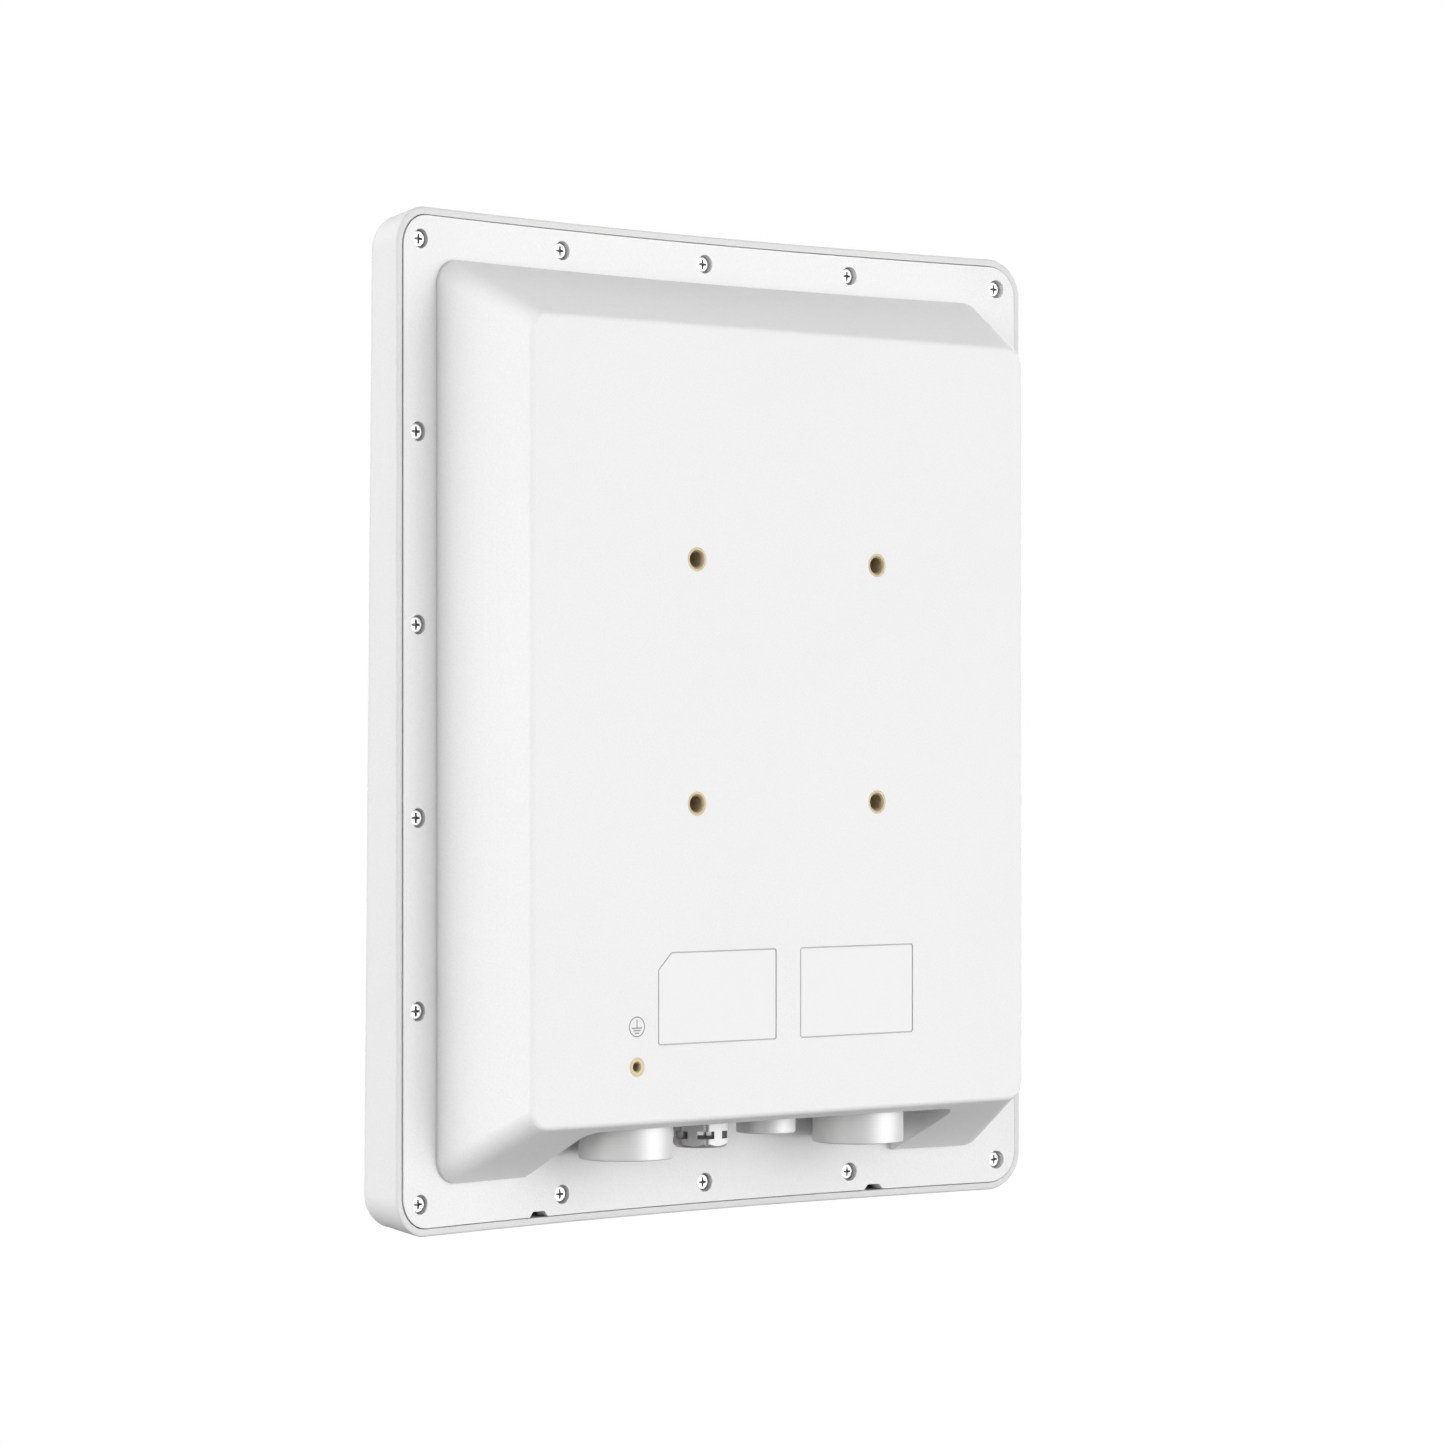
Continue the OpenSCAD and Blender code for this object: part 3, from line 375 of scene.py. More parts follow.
def makeFinish(name, look, centre=(0, 0, 0)):
    # one material: the effect's Tone mixes the colours, Gloss sets roughness, Height goes to a bump;
    # centre is where the effect's own axis stands
    finish = bpy.data.materials.new(name)
    finish.use_nodes = True
    tree = finish.node_tree
    shader = tree.nodes["Principled BSDF"]
    add = tree.nodes.new
    link = tree.links.new
    where = add("ShaderNodeTexCoord")
    place = add("ShaderNodeMapping")
    place.vector_type = "TEXTURE"
    place.inputs["Location"].default_value = centre
    effect = add("ShaderNodeGroup")
    effect.node_tree = effects[look["effect"]]
    for size, value in look.get("sizes", {}).items():
        effect.inputs[size].default_value = value
    colour = add("ShaderNodeMix")
    colour.data_type = "RGBA"
    colour.inputs["A"].default_value = (*look["dark"], 1)
    colour.inputs["B"].default_value = (*look["light"], 1)
    rough = add("ShaderNodeMapRange")
    rough.inputs["To Min"].default_value, rough.inputs["To Max"].default_value = look["rough"]
    bump = add("ShaderNodeBump")
    bump.inputs["Strength"].default_value = 1
    bump.inputs["Distance"].default_value = look["bump"] * mm
    shader.inputs["Metallic"].default_value = look.get("metallic", 0)
    shader.inputs["Specular IOR Level"].default_value = look.get("specular", 0.5)
    link(where.outputs["Object"], place.inputs["Vector"])
    link(place.outputs[0], effect.inputs["Vector"])
    link(effect.outputs["Tone"], colour.inputs["Factor"])
    link(colour.outputs["Result"], shader.inputs["Base Color"])
    link(effect.outputs["Gloss"], rough.inputs["Value"])
    link(rough.outputs[0], shader.inputs["Roughness"])
    link(effect.outputs["Height"], bump.inputs["Height"])
    link(bump.outputs[0], shader.inputs["Normal"])
    return finish


finishes = {name: makeFinish(name, look) for name, look in finishLook.items()}
print("finishes built:", len(finishes))


# Mesh helpers.

weldLook = {"newSurface": 0.0005 * mm, "cadNode": 0.002 * mm, "cadSliver": 0.0005 * mm, "cadFlat": 0.2}


def gridFaces(rows, columns, wrap, start):
    # quads between neighbouring rows and columns; wrap joins the last column to the first
    index = np.arange(rows * columns).reshape(rows, columns) + start
    if wrap:
        index = np.concatenate([index, index[:, :1]], axis=1)
    return np.stack([index[:-1, :-1], index[:-1, 1:], index[1:, 1:], index[1:, :-1]], axis=-1).reshape(-1, 4)


def smoothMesh(mesh, sharp):
    # smooth all over, but sharp where faces meet at more than the given angle in degrees
    mesh.shade_smooth()
    mesh.set_sharp_from_angle(angle=math.radians(sharp))


def addPiece(name, sheets, finish, stands=(), sharp=35):
    # sheets: (points as rows x columns x 3, wrap) grids that meet edge to edge and are welded here
    points, faces, start = [], [], 0
    for grid, wrap in sheets:
        rows, columns = grid.shape[:2]
        points.append(grid.reshape(-1, 3))
        faces.append(gridFaces(rows, columns, wrap, start))
        start += rows * columns
    mesh = bpy.data.meshes.new(name)
    mesh.from_pydata(np.concatenate(points).tolist(), [], np.concatenate(faces).tolist())
    body = bmesh.new()
    body.from_mesh(mesh)
    bmesh.ops.remove_doubles(body, verts=body.verts, dist=weldLook["newSurface"])
    bmesh.ops.dissolve_degenerate(body, edges=body.edges, dist=weldLook["newSurface"] / 10)
    bmesh.ops.recalc_face_normals(body, faces=body.faces)
    body.to_mesh(mesh)
    body.free()
    smoothMesh(mesh, sharp)
    return showPiece(name, mesh, finish, stands)


def showPiece(name, mesh, finish, stands):
    # the mesh as a piece on the panel's one body, in place of the nodes it stands for
    mesh.materials.clear()
    mesh.materials.append(finish)
    piece = bpy.data.objects.new(name, mesh)
    bpy.context.scene.collection.objects.link(piece)
    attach(piece, "root")
    if stands:
        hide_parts(*stands)
    return piece


def polishNode(node, finish, slotName, sharp, bevel=0):
    # a welded copy of a CAD node with sharp edges by angle, a fine bevel in mm and area-weighted normals
    mesh = nodes[node].data.copy()
    if "custom_normal" in mesh.attributes:
        mesh.attributes.remove(mesh.attributes["custom_normal"])
    body = bmesh.new()
    body.from_mesh(mesh)
    bmesh.ops.remove_doubles(body, verts=body.verts, dist=weldLook["cadNode"])
    bmesh.ops.dissolve_degenerate(body, edges=body.edges, dist=weldLook["cadSliver"])
    flat = math.radians(weldLook["cadFlat"])
    bmesh.ops.dissolve_limit(body, angle_limit=flat, verts=body.verts, edges=body.edges)
    body.to_mesh(mesh)
    body.free()
    smoothMesh(mesh, sharp)
    piece = showPiece(node + "_finished", mesh, finish, [node])
    if bevel:
        cut = piece.modifiers.new("bevel", "BEVEL")
        cut.width = bevel * mm
        cut.segments = 2
        cut.limit_method = "ANGLE"
        cut.angle_limit = math.radians(sharp)
        cut.harden_normals = True
    weigh = piece.modifiers.new("normals", "WEIGHTED_NORMAL")
    weigh.keep_sharp = True
    weigh.weight = 50
    return piece


def roundRows(halfWide, halfHigh, radius, turns):
    # rows of a rounded rectangle from top to bottom, each (half width, z); in the upper corners
    # half width = halfWide - radius + radius x sine, z = halfHigh - radius + radius x cosine
    a = np.linspace(0, math.pi / 2, turns + 1)
    upper = np.stack([halfWide - radius + radius * np.sin(a), halfHigh - radius + radius * np.cos(a)], axis=1)
    return np.concatenate([upper, upper[::-1] * (1, -1)])


def rowGrid(rows, columns, surface):
    # every row is spread evenly from -half width to +half width, with y = surface(x, z)
    share = np.linspace(-1, 1, columns + 1)
    x = rows[:, :1] * share
    z = np.repeat(rows[:, 1:], columns + 1, axis=1)
    return np.stack([x, surface(x, z), z], axis=-1)


def gridRim(grid):
    # the closed border of a grid, once round
    return np.concatenate([grid[0], grid[1:-1, -1], grid[-1, ::-1], grid[-2:0:-1, 0]])


def loftSheets(rings, columns, middle):
    # rings: (rows, surface) from one end to the other; the first and last are also closed by caps
    grids = [rowGrid(rows, columns, surface) for rows, surface in rings]
    side = np.stack([gridRim(grid) for grid in grids])
    shift = np.array(middle)
    return [(side + shift, True), (grids[0] + shift, False), (grids[-1] + shift, False)]


# Front shell. Its rear edge lies on an upright cylinder of curveRadius whose axis is at y = curveY,
# and its depths are measured forward from there.

shellLook = {
    "cornerRadius": 12.5 * mm, "curveRadius": 809.4 * mm, "curveY": 769 * mm,
    "depthTop": 19 * mm, "depthBottom": 23 * mm, "frontEdge": 7.5 * mm, "draft": 1.6 * mm,
    "rimEdge": 0.8 * mm, "wall": 2.35 * mm, "mouth": 5.8 * mm, "lip": 0.15 * mm,
    "cornerTurns": 18, "edgeTurns": 12, "rimTurns": 5, "columns": 72,
}


def arcHeight(x, radius):
    # a curve across the panel round the same axis: y = curveY - root of (radius squared - x squared)
    return shellLook["curveY"] - np.sqrt(radius * radius - x * x)


def shellDepth(look, z):
    # the shell's depth, from depthBottom at the lower end to depthTop at the upper end in a straight line
    rise = look["depthTop"] - look["depthBottom"]
    return look["depthBottom"] + rise * (z + panelHalf.z) / (2 * panelHalf.z)


def shellRing(look, inset, share, fixed):
    # a ring of the shell: the rim outline drawn in by inset, with
    # y = the curve at x - share x (depth - frontEdge) - fixed
    corner = look["cornerRadius"] - inset
    rows = roundRows(panelHalf.x - inset, panelHalf.z - inset, corner, look["cornerTurns"])

    def surface(x, z):
        return arcHeight(x, look["curveRadius"]) - share * (shellDepth(look, z) - look["frontEdge"]) - fixed
    return rows, surface


def buildFrontShell(look):
    # from the middle of the inner face out to the mouth, over the rim, and forward to the front face
    wall, lip, draft = look["wall"], look["lip"], look["draft"]
    rim, edge = look["rimEdge"], look["frontEdge"]
    bend = edge - wall
    quarter = np.linspace(0, math.pi / 2, look["edgeTurns"] + 1)
    small = np.linspace(0, math.pi / 2, look["rimTurns"] + 1)
    rings = [shellRing(look, wall + draft + bend * (1 - math.cos(t)), 1, bend * math.sin(t))
             for t in quarter[::-1]]
    rings += [shellRing(look, wall, 0, look["mouth"]), shellRing(look, wall, 0, lip * 2),
              shellRing(look, wall, 0, lip), shellRing(look, wall - lip, 0, 0)]
    rings += [shellRing(look, rim * (1 - math.sin(t)), 0, rim * (1 - math.cos(t))) for t in small]
    rings += [shellRing(look, draft + edge * (1 - math.cos(t)), 1, edge * math.sin(t)) for t in quarter]
    sheets = loftSheets(rings, look["columns"], (panelMiddle.x, 0, panelMiddle.z))
    return addPiece("frontShell", sheets, finishes["shellPaintShaded"], ["front_shell"], sharp=40)


buildFrontShell(shellLook)
print("front shell built")


# Turned shapes.

def spinGrid(profile, turns, place, axis, ripple=None):
    # profile rows of (radius, height) carried once round an axis: radius x cosine, radius x sine, height;
    # ripple adds to the radius by angle and height
    angle = np.arange(turns) * (2 * math.pi / turns)
    radius = np.repeat(profile[:, :1], turns, axis=1)
    height = np.repeat(profile[:, 1:], turns, axis=1)
    if ripple is not None:
        radius = radius + ripple(angle[None, :], height)
    across, along = radius * np.cos(angle), radius * np.sin(angle)
    order = [across, along, height] if axis == "z" else [across, height, along]
    return np.stack(order, axis=-1) + np.array(place)


def bendPath(corners, steps=4):
    # corners: (radius, height, size of the rounding); a rounding runs from first to last as
    # first x (1 - t) squared + corner x 2t(1 - t) + last x t squared, close to a circle's arc
    points = [np.array(corner[:2], float) for corner in corners]
    path = []
    for k, (corner, here) in enumerate(zip(corners, points)):
        if not corner[2]:
            path.append(here)
            continue
        before = points[k - 1] - here
        after = points[(k + 1) % len(points)] - here
        first = here + before / np.linalg.norm(before) * corner[2]
        last = here + after / np.linalg.norm(after) * corner[2]
        for t in np.linspace(0, 1, steps + 1):
            path.append(first * (1 - t) ** 2 + here * 2 * t * (1 - t) + last * t ** 2)
    return np.array(path)


def threadWave(pitch, depth):
    # a helix: the wave climbs one pitch for each turn, from 0 to the depth and back
    def wave(angle, height):
        phase = height / pitch + angle / (2 * math.pi)
        return depth * (1 - np.abs(2 * (phase - np.floor(phase)) - 1))
    return wave


def threadRows(radius, start, end, step):
    # rows of one radius, evenly spaced in height by about the step
    heights = np.linspace(start, end, max(2, int(round(abs(end - start) / step)) + 1))
    return np.stack([np.full(len(heights), radius), heights], axis=1)


# Inside of the shell: sealing rib, screw bosses and reflector posts. ribTop and bossTop are radii
# round the axis of the rear edge, so the tops follow the cover's curve.

insideLook = {
    "ribOut": (115.6 * mm, 141.2 * mm, 7 * mm), "ribIn": (112.6 * mm, 138.2 * mm, 5 * mm),
    "ribTop": 815 * mm, "ribTurns": 8, "ribColumns": 48,
    "bossRadius": 3.6 * mm, "bossTop": 813.8 * mm, "bore": 2.12 * mm, "boreDepth": 9 * mm,
    "bossBelow": 0.5 * mm, "bossFloor": 0.6 * mm,  # least material under a bore
    "postRadius": 3.5 * mm, "postTop": -48.5 * mm, "pilot": 1.3 * mm, "pilotDepth": 3.5 * mm,
    "posts": [(x * mm, z * mm) for x in (-98, 98) for z in (-128, 0, 128)],
    "rimRound": 0.3 * mm, "mouthRound": 0.2 * mm, "root": 0.4 * mm, "turns": 40,
}
screwSpots = [(x * 60.1 * mm, z * 146.1 * mm) for x in (-1, 0, 1) for z in (-1, 1)]
screwSpots += [(x * 120.15 * mm, z * 145.1 * mm) for x in (-1, 1) for z in (-1, 1)]
screwSpots += [(x * 121.15 * mm, k * 58.05 * mm) for x in (-1, 1) for k in (-1.5, -0.5, 0.5, 1.5)]


def shellFloor(x, z):
    # the shell's inner face: y = the curve at x - depth + wall
    return arcHeight(x, shellLook["curveRadius"]) - shellDepth(shellLook, z) + shellLook["wall"]


def tubeSheet(look, spot, outer, bore, top, depth, base):
    # from the outside of the foot over a rounded rim down to the bottom of the bore, carried round the spot
    profile = bendPath([(0, base, 0), (outer, base, 0), (outer, top, look["rimRound"]),
                        (bore, top, look["mouthRound"]), (bore, top - depth, 0), (0, top - depth, 0)])
    return spinGrid(profile, look["turns"], spot, "y"), True


def buildShellInside(look):
    sheets = []
    middle = np.array((panelMiddle.x, 0, panelMiddle.z))
    for x, z in screwSpots:
        top = arcHeight(x, look["bossTop"])
        base = min(shellFloor(x, z) - look["root"], top - look["boreDepth"] - look["bossBelow"])
        depth = min(look["boreDepth"], top - base - look["bossFloor"])
        sheets.append(tubeSheet(look, middle + (x, 0, z), look["bossRadius"], look["bore"], top, depth, base))
    for x, z in look["posts"]:
        base = shellFloor(x, z) - look["root"]
        sheets.append(tubeSheet(look, middle + (x, 0, z), look["postRadius"], look["pilot"], look["postTop"],
                                look["pilotDepth"], base))
    loops = []
    for halfWide, halfHigh, radius in [look["ribOut"], look["ribIn"]]:
        rows = roundRows(halfWide, halfHigh, radius, look["ribTurns"])
        rim = gridRim(rowGrid(rows, look["ribColumns"], lambda x, z: 0 * x))
        x, z = rim[:, 0], rim[:, 2]
        for height in [shellFloor(x, z) - look["root"], arcHeight(x, look["ribTop"])]:
            loops.append(np.stack([x, height, z], axis=1) + middle)
    outLow, outTop, inLow, inTop = loops
    sheets.append((np.stack([outLow, outTop, inTop, inLow, outLow]), True))
    return addPiece("shellInside", sheets, finishes["shellPaintShaded"], sharp=40)


buildShellInside(insideLook)
print("shell inside built")


# Rear cover.

polishNode("rear_cover", finishes["coverPaint"], "cover_paint", sharp=17)
print("rear cover built")


# Cover screws.

coverScrewLook = {
    "headRadius": 2.45 * mm, "height": 2 * mm, "edge": 0.6 * mm, "dome": 0.08 * mm, "edgeTurns": 5,
    "skirt": 0.3 * mm, "underEdge": 0.12 * mm, "sink": 1.2 * mm, "curve": 809 * mm,
    "lines": [0, 0.20, 0.36, 0.41, 0.66, 0.98, 1.30, 1.52, 1.62, 1.95],  # from the middle of the head, in mm
    "arm": 1.55 * mm, "halfWide": 0.385 * mm, "deep": 1.5 * mm, "fall": 2.6,
    "shade": (0.14 * mm, 1.6 * mm),  # how far down the painted shade in the cross starts and ends
    "shank": 1.02 * mm, "length": 8 * mm, "pitch": 0.5 * mm, "thread": 0.2 * mm,
    "threadTop": 0.1 * mm, "threadEnd": 0.4 * mm, "tip": [(0.8, 0.1 * mm), (0.6, 0), (0, 0)],
}


def recessDepth(x, z, look):
    # a cross of two upright arms whose floor falls towards the middle: (arm - radius) x fall, at most deep
    radius = np.sqrt(x * x + z * z)
    inside = (np.minimum(np.abs(x), np.abs(z)) < look["halfWide"]) & (radius < look["arm"])
    slope = (look["arm"] - radius) * look["fall"]
    return np.where(inside, np.clip(slope, 0, look["deep"]), 0)


def screwSheets(look, place):
    # head: crossing lines, close together at the edges of the cross, drawn from a square u, v into a disc by
    # x = u x root of (1 - v squared / 2), z = v x root of (1 - u squared / 2); side and thread follow its rim
    line = np.array(look["lines"]) * mm
    flat = line[-1]
    line = np.concatenate([-line[:0:-1], line]) / flat
    u, v = np.meshgrid(line, line)
    x = u * np.sqrt(1 - v * v / 2) * flat
    z = v * np.sqrt(1 - u * u / 2) * flat
    fall = look["dome"] * (x * x + z * z) / (flat * flat)
    deep = recessDepth(u * flat, v * flat, look)
    top = np.stack([x, -fall - deep, z], axis=-1)
    rim = gridRim(top)
    angle = np.arctan2(rim[:, 2], rim[:, 0])
    bend = np.linspace(0, math.pi / 2, look["edgeTurns"] + 1)
    reach = look["headRadius"] - flat
    drop = look["dome"] + (look["edge"] - look["dome"]) * (1 - np.cos(bend))
    side = np.stack([flat + reach * np.sin(bend), -drop], axis=1)
    under = -look["height"]
    lower = bendPath([(look["headRadius"], -look["edge"] - look["skirt"], 0),
                      (look["headRadius"], under, look["underEdge"]), (look["shank"], under, 0)], 2)
    end = under - look["length"]
    rows = threadRows(look["shank"], under - look["threadTop"], end + look["threadEnd"], look["pitch"] / 3)
    tip = np.array([(look["shank"] * share, end + rise) for share, rise in look["tip"]])
    profile = np.concatenate([side, lower, rows, tip])
    radius = np.repeat(profile[:, :1], len(angle), axis=1)
    height = np.repeat(profile[:, 1:], len(angle), axis=1)
    first = len(side) + len(lower)
    wave = threadWave(look["pitch"], look["thread"])
    radius[first:first + len(rows)] += wave(angle[None, :], height[first:first + len(rows)])
    body = np.stack([radius * np.cos(angle), height, radius * np.sin(angle)], axis=-1)
    body[0] = rim
    return [(top + place, False), (body + place, True)]


def paintRecessShade(piece, places, look):
    # faces down in the cross get the second material, a darker steel that is painted shade in the recess
    mesh = piece.data
    mesh.materials.append(finishes["recessPaintedShade"])
    centre = np.empty(len(mesh.polygons) * 3)
    mesh.polygons.foreach_get("center", centre)
    away = centre.reshape(-1, 1, 3) - np.array(places)[None]
    near = np.hypot(away[..., 0], away[..., 2]) < look["arm"]
    deep = (away[..., 1] < -look["shade"][0]) & (away[..., 1] > -look["shade"][1])
    mesh.polygons.foreach_set("material_index", (near & deep).any(axis=1).astype(np.int32))


def buildCoverScrews(look):
    places = [np.array((panelMiddle.x + x, arcHeight(x, look["curve"]) - look["sink"], panelMiddle.z + z))
              for x, z in screwSpots]
    sheets = [sheet for place in places for sheet in screwSheets(look, place)]
    piece = addPiece("coverScrews", sheets, finishes["screwSteel"], ["cover_screws"], sharp=34)
    paintRecessShade(piece, places, look)


buildCoverScrews(coverScrewLook)
print("cover screws built")


# Threaded inserts in the rear face.

insertLook = {
    "mountInserts": dict(node="mount_inserts", ring=3.7 * mm, bore=2.46 * mm, depth=12 * mm, pitch=1 * mm,
                         thread=0.5 * mm,
                         places=[(x * mm, z * mm) for x in (-37.5, 37.5) for z in (-37.5, 37.5)]),
    "earthInsert": dict(node="earth_insert", ring=2.9 * mm, bore=1.25 * mm, depth=8 * mm, pitch=0.5 * mm,
                        thread=0.25 * mm, places=[(61.45 * mm, -117.2 * mm)]),
}
# shared by both sizes; grooveEnds are shares of the depth
insertShape = {
    "chamfer": 0.35 * mm, "outerBand": 0.72, "bandStep": 0.05 * mm, "bandEdge": 0.12 * mm,
    "mouthEdge": 0.08 * mm, "skirt": 0.6 * mm, "backChamfer": 0.3 * mm,
    "groove": 0.25 * mm, "grooveEnds": (0.62, 0.60, 0.45, 0.43),
    "threadShare": 0.4, "threadEnd": 0.2 * mm, "rowsPerPitch": 8, "turns": 56,
}


def buildInserts(name, look, shape):
    # face ring with a low band, threaded bore, flat back, and a grip groove round the outside
    ring, bore, depth, pitch = look["ring"], look["bore"], look["depth"], look["pitch"]
    step = shape["bandStep"]
    band = bore + (ring - bore) * shape["outerBand"]
    cut = look["thread"] * shape["threadShare"]
    sink = -shape["chamfer"] - cut
    face = bendPath([(ring, -shape["skirt"], 0), (ring, -step, shape["bandEdge"]), (band, -step, 0),
                     (band - step, 0, 0), (bore + cut + shape["chamfer"], 0, shape["mouthEdge"]),
                     (bore, sink, 0)])
    gap = pitch / shape["rowsPerPitch"]
    rows = threadRows(bore, sink - gap, -depth + shape["threadEnd"], gap)
    corner = shape["backChamfer"]
    neck = ring - shape["groove"]
    grip = [(radius, -depth * share, 0)
            for radius, share in zip([ring, neck, neck, ring], shape["grooveEnds"])]
    back = bendPath([(bore, -depth, 0), (ring - corner, -depth, 0), (ring, -depth + corner, 0)] + grip
                    + [(ring, -shape["skirt"], 0)])
    profile = np.concatenate([face, rows, back])
    wave = threadWave(pitch, look["thread"])

    def ripple(angle, height):
        # the thread's wave on the rows of the bore, nothing elsewhere
        gain = np.zeros((len(profile), 1))
        gain[len(face):len(face) + len(rows)] = 1
        return wave(angle, height) * gain
    sheets = [(spinGrid(profile, shape["turns"], (x, faceY, z), "y", ripple), True)
              for x, z in look["places"]]
    return addPiece(name, sheets, finishes["bareRing"], [look["node"]], sharp=30)


for name, look in insertLook.items():
    buildInserts(name, look, insertShape)
print("inserts built")


# Port collars.

# node, x and kind of section
collarLook = {
    "dataCollarLeft": ("data_collar_left", 48.5 * mm, "data"),
    "dataCollarRight": ("data_collar_right", -48.5 * mm, "data"),
    "auxCollar": ("aux_collar", -9 * mm, "aux"),
}
collarShape = {"y": -21 * mm, "turns": 112, "bendSteps": 5}
# corners of each section once round, as (radius, z, size of the rounding) in millimetres
collarSection = {
    "data": [(10.6, -119, 0), (12, -119, 0.3), (12, -133.5, 0), (14.6, -133.5, 0.25), (14.6, -136.2, 0.05),
             (14.6, -146.8, 0.6), (12.4, -146.8, 0.35), (12.4, -141, 0.1), (11.6, -141, 0.1),
             (11.6, -139.5, 0), (10.6, -139.5, 0), (10.6, -119, 0)],
    "aux": [(5.2, -122, 0), (7, -122, 0.3), (7, -133.5, 0), (9.4, -133.5, 0.25), (9.4, -135.5, 0.05),
            (9.4, -141.8, 0.5), (6.4, -141.8, 0.3), (6.4, -137.8, 0.1), (6, -137.8, 0.1), (6, -136.3, 0),
            (5.2, -136.3, 0), (5.2, -122, 0)],
}
for name, (node, x, kind) in collarLook.items():
    place = (x, collarShape["y"], 0)
    corners = [tuple(number * mm for number in corner) for corner in collarSection[kind]]
    sheet = spinGrid(bendPath(corners, collarShape["bendSteps"]), collarShape["turns"], place, "z")
    finish = makeFinish(name + "Metal", finishLook["collarMetal"], place)  # its rings run round its own axis
    addPiece(name, [(sheet, True)], finish, [node], sharp=30)
print("port collars built")


# Painted shade: a dark fill in the grooves of the protective earth mark.

# bars: height and width in millimetres; gap keeps the dark fill off the walls of its groove, and stemGap is
# how far the stem starts above the middle of the top bar, in halves of a line
markShadeLook = {
    "place": (61.45 * mm, -105 * mm), "low": -0.15 * mm, "high": -0.06 * mm, "gap": 0.005 * mm,
    "ring": 3.15 * mm, "line": 0.34 * mm, "ringTurns": 96,
    "stem": (-0.4 * mm, 2.2 * mm), "stemGap": 1.2, "bars": [(-0.4, 4.1), (-1.16, 2.95), (-1.92, 1.8)],
}


def slabSheets(low, high):
    # a closed box as a ring of four walls and two caps
    corners = np.array([(low[0], low[2]), (high[0], low[2]), (high[0], high[2]), (low[0], high[2])])
    loops = [np.stack([corners[:, 0], np.full(4, y), corners[:, 1]], axis=1) for y in (low[1], high[1])]
    caps = [(loop[[0, 1, 3, 2]].reshape(2, 2, 3), False) for loop in loops]
    return [(np.stack(loops), True)] + caps


def buildMarkShade(look):
    x, z = look["place"]
    low, high = faceY + look["low"], faceY + look["high"]
    outer, inner = look["ring"] - look["gap"], look["ring"] - look["line"] + look["gap"]
    section = np.array([(outer, low), (outer, high), (inner, high), (inner, low), (outer, low)])
    sheets = [(spinGrid(section, look["ringTurns"], (x, 0, z), "y"), True)]
    half = look["line"] / 2 - look["gap"]
    foot, head = look["stem"]
    sheets += slabSheets((x - half, low, z + foot + half * look["stemGap"]), (x + half, high, z + head))
    for level, wide in look["bars"]:
        reach = wide * mm / 2 - look["gap"]
        height = z + level * mm
        sheets += slabSheets((x - reach, low, height - half), (x + reach, high, height + half))
    # painted shade sunk in the mark's grooves
    return addPiece("markGrooveShade", sheets, finishes["markGrooveShade"], sharp=30)


buildMarkShade(markShadeLook)
print("ink built")


# Blank labels in their recesses.

labelLook = {
    "size": (48.2 * mm, 28.4 * mm), "corner": 1 * mm, "high": -96.85 * mm,
    "sunk": 0.3 * mm, "thick": 0.2 * mm,
    "margin": 0.42 * mm, "edge": 0.04 * mm, "border": 0.02 * mm, "outerGap": 0.03 * mm, "overlap": 0.01 * mm,
    "clipTurn": 0.4, "places": {"left": (29 * mm, 5.3 * mm), "right": (-29 * mm, 0)},  # x, clipped corner
}


def labelLoop(look, x, clip, shrink, y):
    # the outline drawn in by shrink, with one corner cut off where clip is not 0
    wide, tall = look["size"][0] / 2 - shrink, look["size"][1] / 2 - shrink
    turn = look["corner"] - shrink
    corners = [(wide, -tall, turn), (-wide, -tall, turn), (-wide, tall, turn)]
    if clip:
        cut = clip - shrink * (2 - math.sqrt(2))
        corners += [(wide - cut, tall, turn * look["clipTurn"]), (wide, tall - cut, turn * look["clipTurn"])]
    else:
        corners.append((wide, tall, turn))
    flat = bendPath(corners, 6)
    return np.stack([flat[:, 0] + x, np.full(len(flat), y), flat[:, 1] + look["high"]], axis=1)


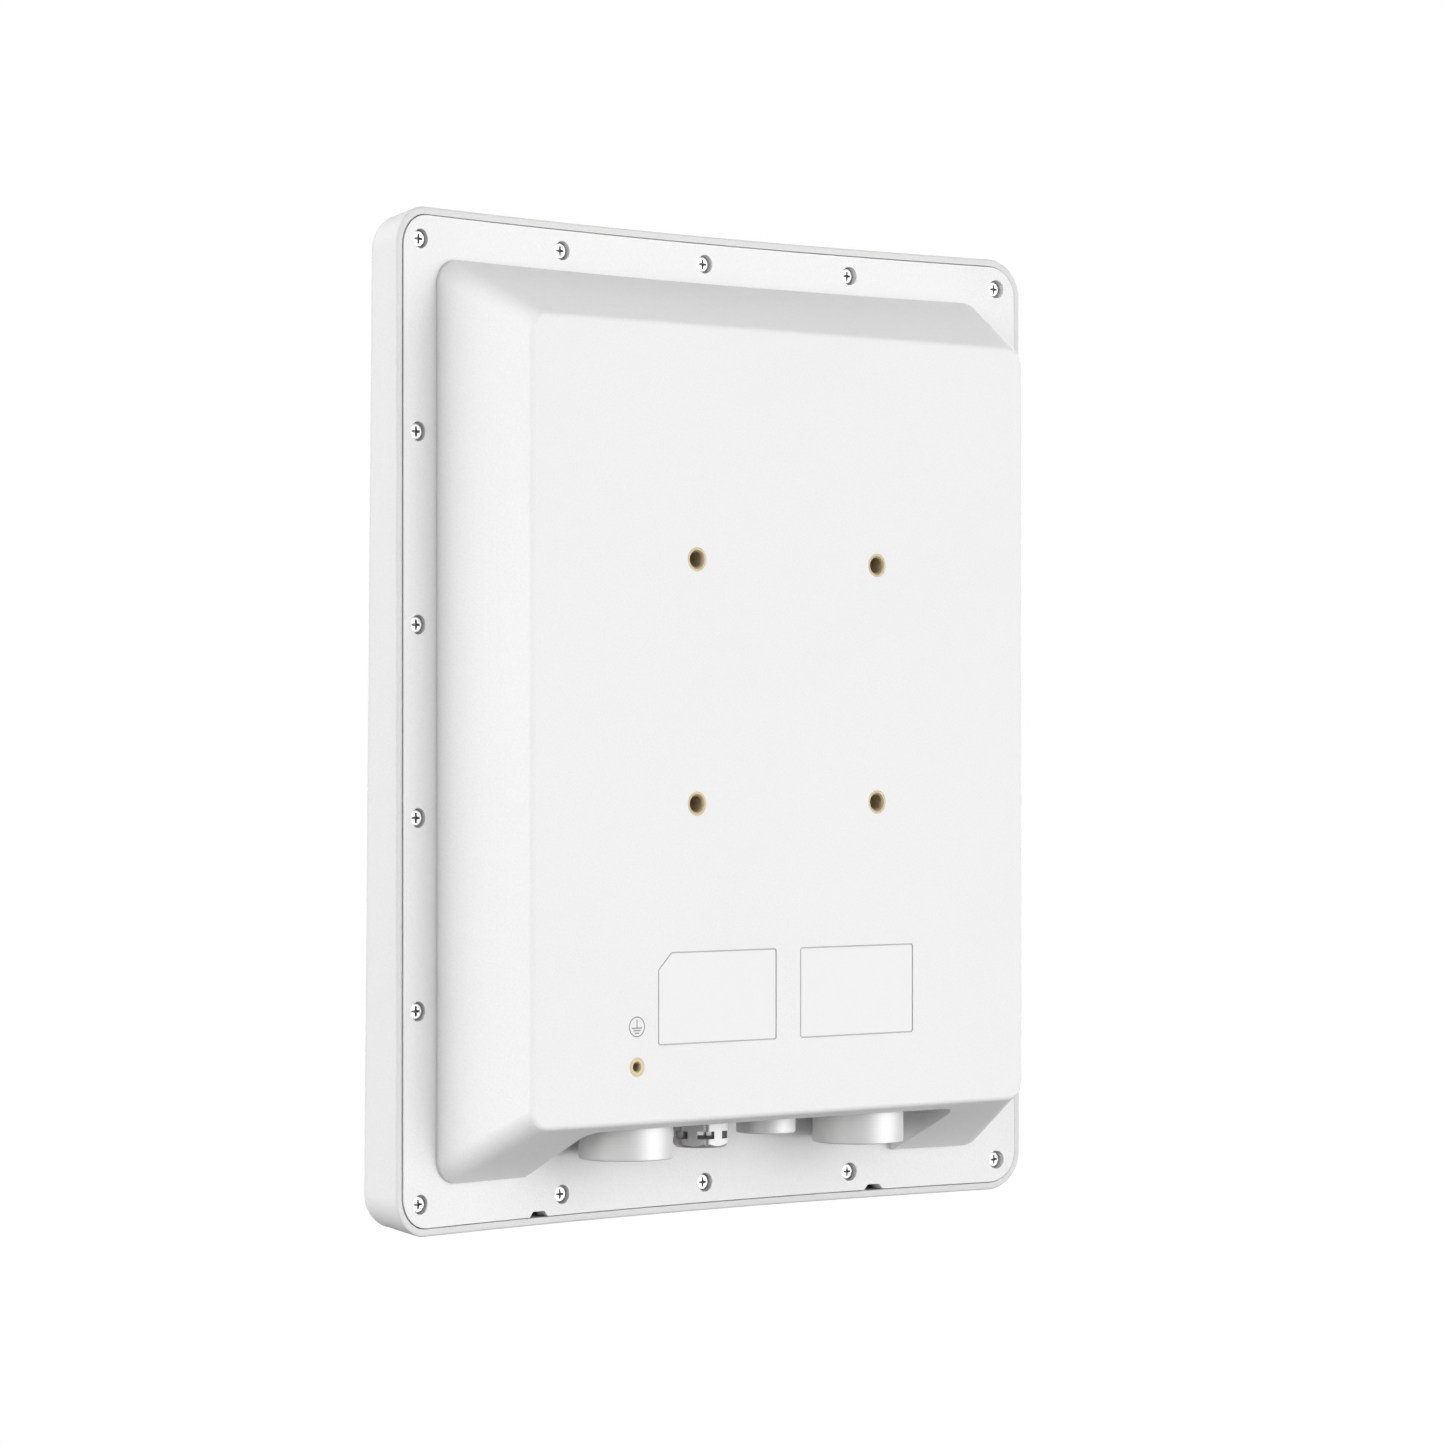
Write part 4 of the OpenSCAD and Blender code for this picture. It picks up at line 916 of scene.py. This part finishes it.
def buildLabel(side, look):
    x, clip = look["places"][side]
    floor = faceY - look["sunk"]
    top = floor + look["thick"]
    margin = look["margin"]
    low = labelLoop(look, x, clip, margin, floor)
    rings = [low, labelLoop(look, x, clip, margin, top - look["edge"]),
             labelLoop(look, x, clip, margin + look["edge"], top)]
    middles = [np.repeat([[x, y, look["high"]]], len(low), axis=0) for y in (floor, top)]
    film = np.stack([middles[0]] + rings + [middles[1]])
    addPiece("blankLabel" + side.title(), [(film, True)], finishes["labelFilm"],
             ["blank_label_" + side], sharp=20)
    # painted shade: a thin grey band round the film stands for the shade in the gap by the recess wall
    level = floor + look["border"]
    outer, inner = look["outerGap"], margin - look["overlap"]
    section = [(outer, floor), (outer, level), (inner, level), (inner, floor), (outer, floor)]
    loops = [labelLoop(look, x, clip, gap, y) for gap, y in section]
    addPiece("labelGapShade" + side.title(), [(np.stack(loops), True)], finishes["labelGapShade"], sharp=50)


for side in labelLook["places"]:
    buildLabel(side, labelLook)
print("labels built")


# Other nodes: cleaned copies of the CAD meshes, with fine bevels in millimetres where edges show.

nodeFinish = {
    "shell_inserts": "brassInsert", "rim_gasket": "sealRubber",
    "data_jack_left": "connectorPlastic", "data_jack_right": "connectorPlastic",
    "aux_insulator": "connectorPlastic",
    "data_contacts_left": "contactGold", "data_contacts_right": "contactGold", "aux_contacts": "contactGold",
    "data_gasket_left": "sealRubber", "data_gasket_right": "sealRubber", "aux_gasket": "sealRubber",
    "vent_o_ring": "sealRubber",
    "data_nut_left": "nutMetal", "data_nut_right": "nutMetal", "aux_nut": "nutMetal",
    "vent_body": "ventMetal", "vent_nut": "nutMetal", "vent_membrane": "membrane",
    "reader_board": "circuitBoard", "feed_board": "circuitBoard",
    "board_components": "chipPlastic", "board_headers": "headerPlastic", "coax_jacks": "contactGold",
    "rf_shield": "shieldSteel", "thermal_pad": "thermalPad",
    "board_screws": "screwSteel", "reflector_screws": "screwSteel",
    "reflector": "reflectorSheet", "patch_upper": "patchSheet", "patch_lower": "patchSheet",
    "patch_standoffs": "nylon", "feed_pins": "contactGold", "coax_lead": "leadJacket",
    "data_lead_left": "leadJacket", "data_lead_right": "leadJacket", "aux_lead": "leadJacket",
}
nodeBevel = {"board_components": 0.12, "board_headers": 0.12, "rf_shield": 0.25, "thermal_pad": 0.15}


def slotOf(finish):
    # the slot name is the finish's name with words split by underscores
    return "".join("_" + letter.lower() if letter.isupper() else letter for letter in finish)


for node, finish in nodeFinish.items():
    polishNode(node, finishes[finish], slotOf(finish), sharp=34, bevel=nodeBevel.get(node, 0))
print("other nodes finished:", len(nodeFinish))
